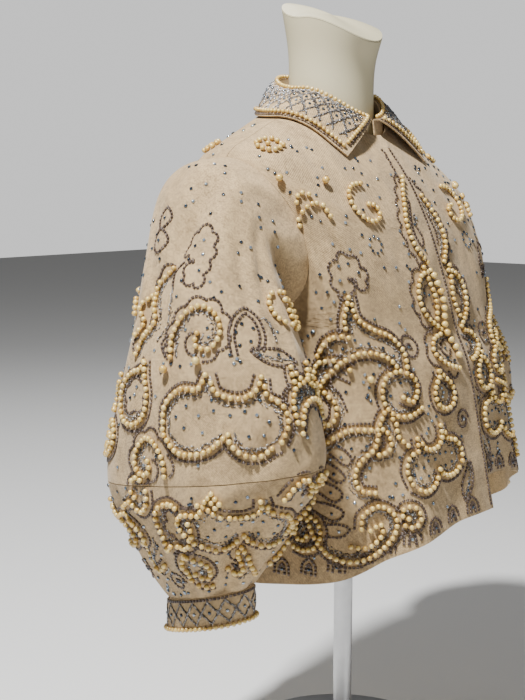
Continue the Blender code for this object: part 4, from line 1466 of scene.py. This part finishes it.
def bead_body():
    bead_front("front_right", right_point, 1.0, inside_right, sleeve_right, 11)
    bead_front("front_left", left_point, -1.0, inside_left, sleeve_left, 12)
    near = np.concatenate([coarse(arm, (0.10, 0.95), FULL_TURN) for arm in (sleeve_right, sleeve_left)])
    beads = Beading(back_point, -1, (0.0, 1.0), (1.35, 4.95), 13, inside_back, near=near)
    for name, down, angle, size, turn, mirror in BACK_LAYOUT:
        beads.motif(name, down, 180 - angle, size, -turn, -mirror)
        beads.motif(name, down, 180 + angle, size, turn, mirror)
    hem_border(beads, (97, 266), 1.0)
    beads.scatter((0.10, 0.50), (100, 260), 130)
    beads.scatter((0.50, 0.97), (94, 266), 280)
    beads.finish("back")


def bead_sleeves():
    body = [coarse(right_point, (0.15, 1.0), (-0.1, 1.6)), coarse(left_point, (0.15, 1.0), (-1.6, 0.1)),
            coarse(back_point, (0.15, 1.0), (1.5, 4.8))]
    for word, surface, flip, seed in (("right", sleeve_right, 1, 21), ("left", sleeve_left, -1, 22)):
        beads = Beading(surface, flip, (0.0, 1.0), FULL_TURN, seed, inside_sleeve, True, np.concatenate(body))
        for name, along, turn, size, twist, mirror in SLEEVE_LAYOUT:
            beads.motif(name, along, turn, size, twist * flip, mirror * flip)
            beads.motif(name, along, 196 - turn, size * 0.86, -twist * flip, -mirror * flip)
        for name, along, turn, size, twist, mirror in SLEEVE_BACK_LAYOUT:
            beads.motif(name, along, turn, size, twist * flip, mirror * flip)
        beads.scatter((0.12, 0.68), (-180, 180), 230)
        beads.scatter((0.71, 0.97), (-180, 180), 190)
        beads.finish("sleeve_" + word)
        cuff = Beading(cuff_point(word == "left"), flip, (0.0, 1.0), FULL_TURN, seed + 10, everywhere, True)
        lattice(cuff, (0.14, 0.82), FULL_TURN, 0.018, 1.0, 0.002)
        turn = np.linspace(0, 2 * math.pi, 200)
        cuff.pearls(np.stack([0 * turn + 0.93, turn], axis=-1), COLLAR_PEARL)
        cuff.dark(np.stack([0 * turn + 0.07, turn], axis=-1))
        cuff.finish("cuff_" + word)


def square_off(beads, b, start, end, steps=10):
    """Second values reached from one row by the way square to the rows, as each place's first value ends."""
    step = (end - start) / steps
    for k in range(steps):
        ab = np.stack([start + step * k + 0 * b, b], axis=-1)
        da, db = beads.differences(ab)
        b = b - step * (da * db).sum(axis=-1) / np.maximum((db * db).sum(axis=-1), 1e-9)
    return b


def lattice(beads, a_range, b_range, cell, rows, width):
    """Diamonds of crossed seed bands with a stone in the middle of each.

    Band k runs through the places (k + t) and (k - t) of equal lengths of the middle line, where
    t goes from 0 to the number of rows.
    """
    a0, a1 = a_range
    middle = 0.5 * (a0 + a1)
    b = np.linspace(*b_range, 600)
    line = beads.even(np.stack([middle + 0 * b, b], axis=-1), 0.001)
    count = round(len(line) * 0.001 / cell)
    share = np.linspace(0, count, len(line))

    def place_of(t, place):
        a = a0 + (a1 - a0) * t / rows
        ab = np.stack([a, square_off(beads, np.interp(place, share, line[:, 1]), middle, a)], axis=-1)
        return ab[(place >= 0) & (place <= count) & (ab[:, 1] >= b_range[0]) & (ab[:, 1] <= b_range[1])]

    t = np.linspace(0, rows, 60)
    for k in range(-3, count + 4):
        for sign in (1.0, -1.0):
            path = place_of(t, k - sign * rows / 2 + sign * t)
            if len(path) > 6:
                beads.seeds(path, 0.0, width)
                beads.seeds(path, 0.0, width * 0.5)
    most = int(rows - 0.8)
    for half in range(-most, most + 1):
        place = np.arange(0, count + 1) + (0.5 * half + 0.5) % 1.0
        beads.spots("t", place_of(0.5 * (rows + half) + 0 * place, place))


def inset(beads, ab, toward, metres):
    """Places moved by a true length along the way that one of the two values grows or falls."""
    step = 0.01 * np.array(toward)
    reach = np.linalg.norm(beads.lift(ab + step)[0] - beads.lift(ab)[0], axis=1)
    return ab + step * (metres / reach)[:, None]


def bead_collar():
    beads = Beading(collar_point, 1, (0.0, 1.0), (-1.0, 1.0), 31, everywhere)
    lattice(beads, (0.13, 0.87), (-0.955, 0.955), 0.0150, 2.5, 0.0040)
    around = np.linspace(-0.965, 0.965, 400)
    line = np.stack([0 * around, around], axis=-1)
    edge = line + (0.985, 0)
    beads.pearls(inset(beads, edge, (-1, 0), 0.0050), COLLAR_PEARL)
    beads.pearls(line + (0.07, 0), COLLAR_PEARL)
    beads.dark(inset(beads, edge, (-1, 0), 0.0010))
    across = np.linspace(0.12, 0.90, 60)
    for side in (-1.0, 1.0):
        front = np.stack([across, 0 * across + side * 0.985], axis=-1)
        beads.pearls(inset(beads, front, (0, -side), 0.0046), COLLAR_PEARL)
        beads.dark(inset(beads, front, (0, -side), 0.0008))
    beads.finish("collar")


# camera, light and floor

def place_at(name, data, target, around, up, distance):
    """Links a camera or a light at its degrees around and above a target, facing it."""
    a, e = math.radians(around), math.radians(up)
    toward = Vector((math.sin(a) * math.cos(e), -math.cos(a) * math.cos(e), math.sin(e)))
    obj = bpy.data.objects.new(name, data)
    obj.location = target + toward * distance
    obj.rotation_euler = (-toward).to_track_quat("-Z", "Y").to_euler()
    bpy.context.scene.collection.objects.link(obj)
    return obj


def build_stage(sizes):
    distance = sizes.camera_distance
    camera = bpy.data.cameras.new("camera")
    camera.sensor_fit = "VERTICAL"
    camera.sensor_height = SENSOR
    camera.lens = SENSOR * distance / (PHOTO_ROWS * PIXEL)
    camera.clip_start = 0.02
    target = Vector((-0.052, 0.062 + SHIFT_Y, 0.488))
    bpy.context.scene.camera = place_at("camera", camera, target, sizes.camera_azimuth,
                                        sizes.camera_elevation, distance)

    side = 8.0
    verts = np.array([(-side, -side, 0), (side, -side, 0), (side, side, 0), (-side, side, 0)], dtype=float)
    floor = fill_mesh("floor", verts, np.array([(0, 1, 2, 3)]))
    floor_object = new_object("floor", floor, bpy.data.materials["floor"], False)

    lights = (
        # name, azimuth, elevation, distance, size, watts
        ("key", -88.0, 62.0, 2.2, 0.22, 120.0),
        ("fill", -5.0, 24.0, 2.6, 2.0, 5.0),
        ("back", 150.0, 40.0, 2.6, 1.6, 12.0),
    )
    for name, around, up, far, size, power in lights:
        light = bpy.data.lights.new(name, "AREA")
        light.shape = "DISK"
        light.size = size
        light.energy = power
        place_at(name, light, Vector((0.0, 0.0, 0.5)), around, up, far)

    world = bpy.data.worlds.new("studio")
    bpy.context.scene.world = world
    world.use_nodes = True
    tree = world.node_tree
    seen = node(tree, "ShaderNodeLightPath").outputs["Is Camera Ray"]
    strength = node(tree, "ShaderNodeMath", {0: seen, 1: 0.72, 2: 0.15}, operation="MULTIPLY_ADD")
    background = tree.nodes["Background"]
    background.inputs["Color"].default_value = (1.0, 1.0, 1.0, 1.0)
    tree.links.new(strength.outputs["Value"], background.inputs["Strength"])


# add-on

class JacketSizes(bpy.types.PropertyGroup):
    cloth_colour: bpy.props.FloatVectorProperty(
        name="Cloth", description="Colour of the wool twill", subtype="COLOR", default=(0.495, 0.345, 0.176))
    pearl_colour: bpy.props.FloatVectorProperty(
        name="Pearls", description="Colour of the pearls", subtype="COLOR", default=(0.86, 0.63, 0.19))
    form_colour: bpy.props.FloatVectorProperty(
        name="Form", description="Colour of the dress form", subtype="COLOR", default=(0.66, 0.60, 0.41))
    camera_azimuth: bpy.props.FloatProperty(
        name="Camera azimuth", description="Degrees around from the front, plus to the wearer's left",
        default=-50.0)
    camera_elevation: bpy.props.FloatProperty(
        name="Camera elevation", description="Degrees above level", default=8.0)
    camera_distance: bpy.props.FloatProperty(
        name="Camera distance", description="From the camera to its target", default=1.4, unit="LENGTH")


class JACKET_OT_materials(bpy.types.Operator):
    """Makes the cloth, bead, stone, plastic and metal materials"""
    bl_idname = "jacket.materials"
    bl_label = "Materials"

    def execute(self, context):
        build_materials(context.scene.jacket_sizes)
        return {"FINISHED"}


class JACKET_OT_body(bpy.types.Operator):
    """Builds the cloth of the two fronts and the back"""
    bl_idname = "jacket.body"
    bl_label = "Body Cloth"

    def execute(self, context):
        build_cloth()
        return {"FINISHED"}


class JACKET_OT_sleeves(bpy.types.Operator):
    """Builds the cloth of the sleeves and the cuffs"""
    bl_idname = "jacket.sleeves"
    bl_label = "Sleeve Cloth"

    def execute(self, context):
        build_sleeves()
        return {"FINISHED"}


class JACKET_OT_collar(bpy.types.Operator):
    """Builds the collar and its stand"""
    bl_idname = "jacket.collar"
    bl_label = "Collar Cloth"

    def execute(self, context):
        build_collar()
        return {"FINISHED"}


class JACKET_OT_beading(bpy.types.Operator):
    """Lays the pearls, bead rows and stones on the body, the sleeves, the cuffs and the collar"""
    bl_idname = "jacket.beading"
    bl_label = "Beading"

    def execute(self, context):
        bead_body()
        bead_sleeves()
        bead_collar()
        return {"FINISHED"}


class JACKET_OT_form(bpy.types.Operator):
    """Builds the dress form, its cap, its pole and its base"""
    bl_idname = "jacket.form"
    bl_label = "Dress Form"

    def execute(self, context):
        build_form()
        build_stand()
        return {"FINISHED"}


class JACKET_OT_stage(bpy.types.Operator):
    """Sets up the camera, the lights and the floor"""
    bl_idname = "jacket.stage"
    bl_label = "Stage"

    def execute(self, context):
        build_stage(context.scene.jacket_sizes)
        return {"FINISHED"}


class JACKET_PT_panel(bpy.types.Panel):
    """Lists the jacket's sizes and its steps"""
    bl_idname = "JACKET_PT_panel"
    bl_label = "Beaded Jacket"
    bl_space_type = "VIEW_3D"
    bl_region_type = "UI"
    bl_category = "Jacket"

    def draw(self, context):
        sizes = context.scene.jacket_sizes
        for name in JacketSizes.__annotations__:
            self.layout.prop(sizes, name)
        for step in STEPS:
            self.layout.operator(step.bl_idname)


STEPS = (JACKET_OT_materials, JACKET_OT_body, JACKET_OT_sleeves, JACKET_OT_collar, JACKET_OT_beading,
         JACKET_OT_form, JACKET_OT_stage)
CLASSES = (JacketSizes, *STEPS, JACKET_PT_panel)


def register():
    for kind in CLASSES:
        bpy.utils.register_class(kind)
    bpy.types.Scene.jacket_sizes = bpy.props.PointerProperty(type=JacketSizes)


def unregister():
    del bpy.types.Scene.jacket_sizes
    for kind in reversed(CLASSES):
        bpy.utils.unregister_class(kind)


def main():
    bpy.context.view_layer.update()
    register()
    bpy.ops.jacket.materials()
    bpy.ops.jacket.body()
    bpy.ops.jacket.sleeves()
    bpy.ops.jacket.collar()
    bpy.ops.jacket.beading()
    bpy.ops.jacket.form()
    bpy.ops.jacket.stage()


if __name__ == "__main__":
    main()
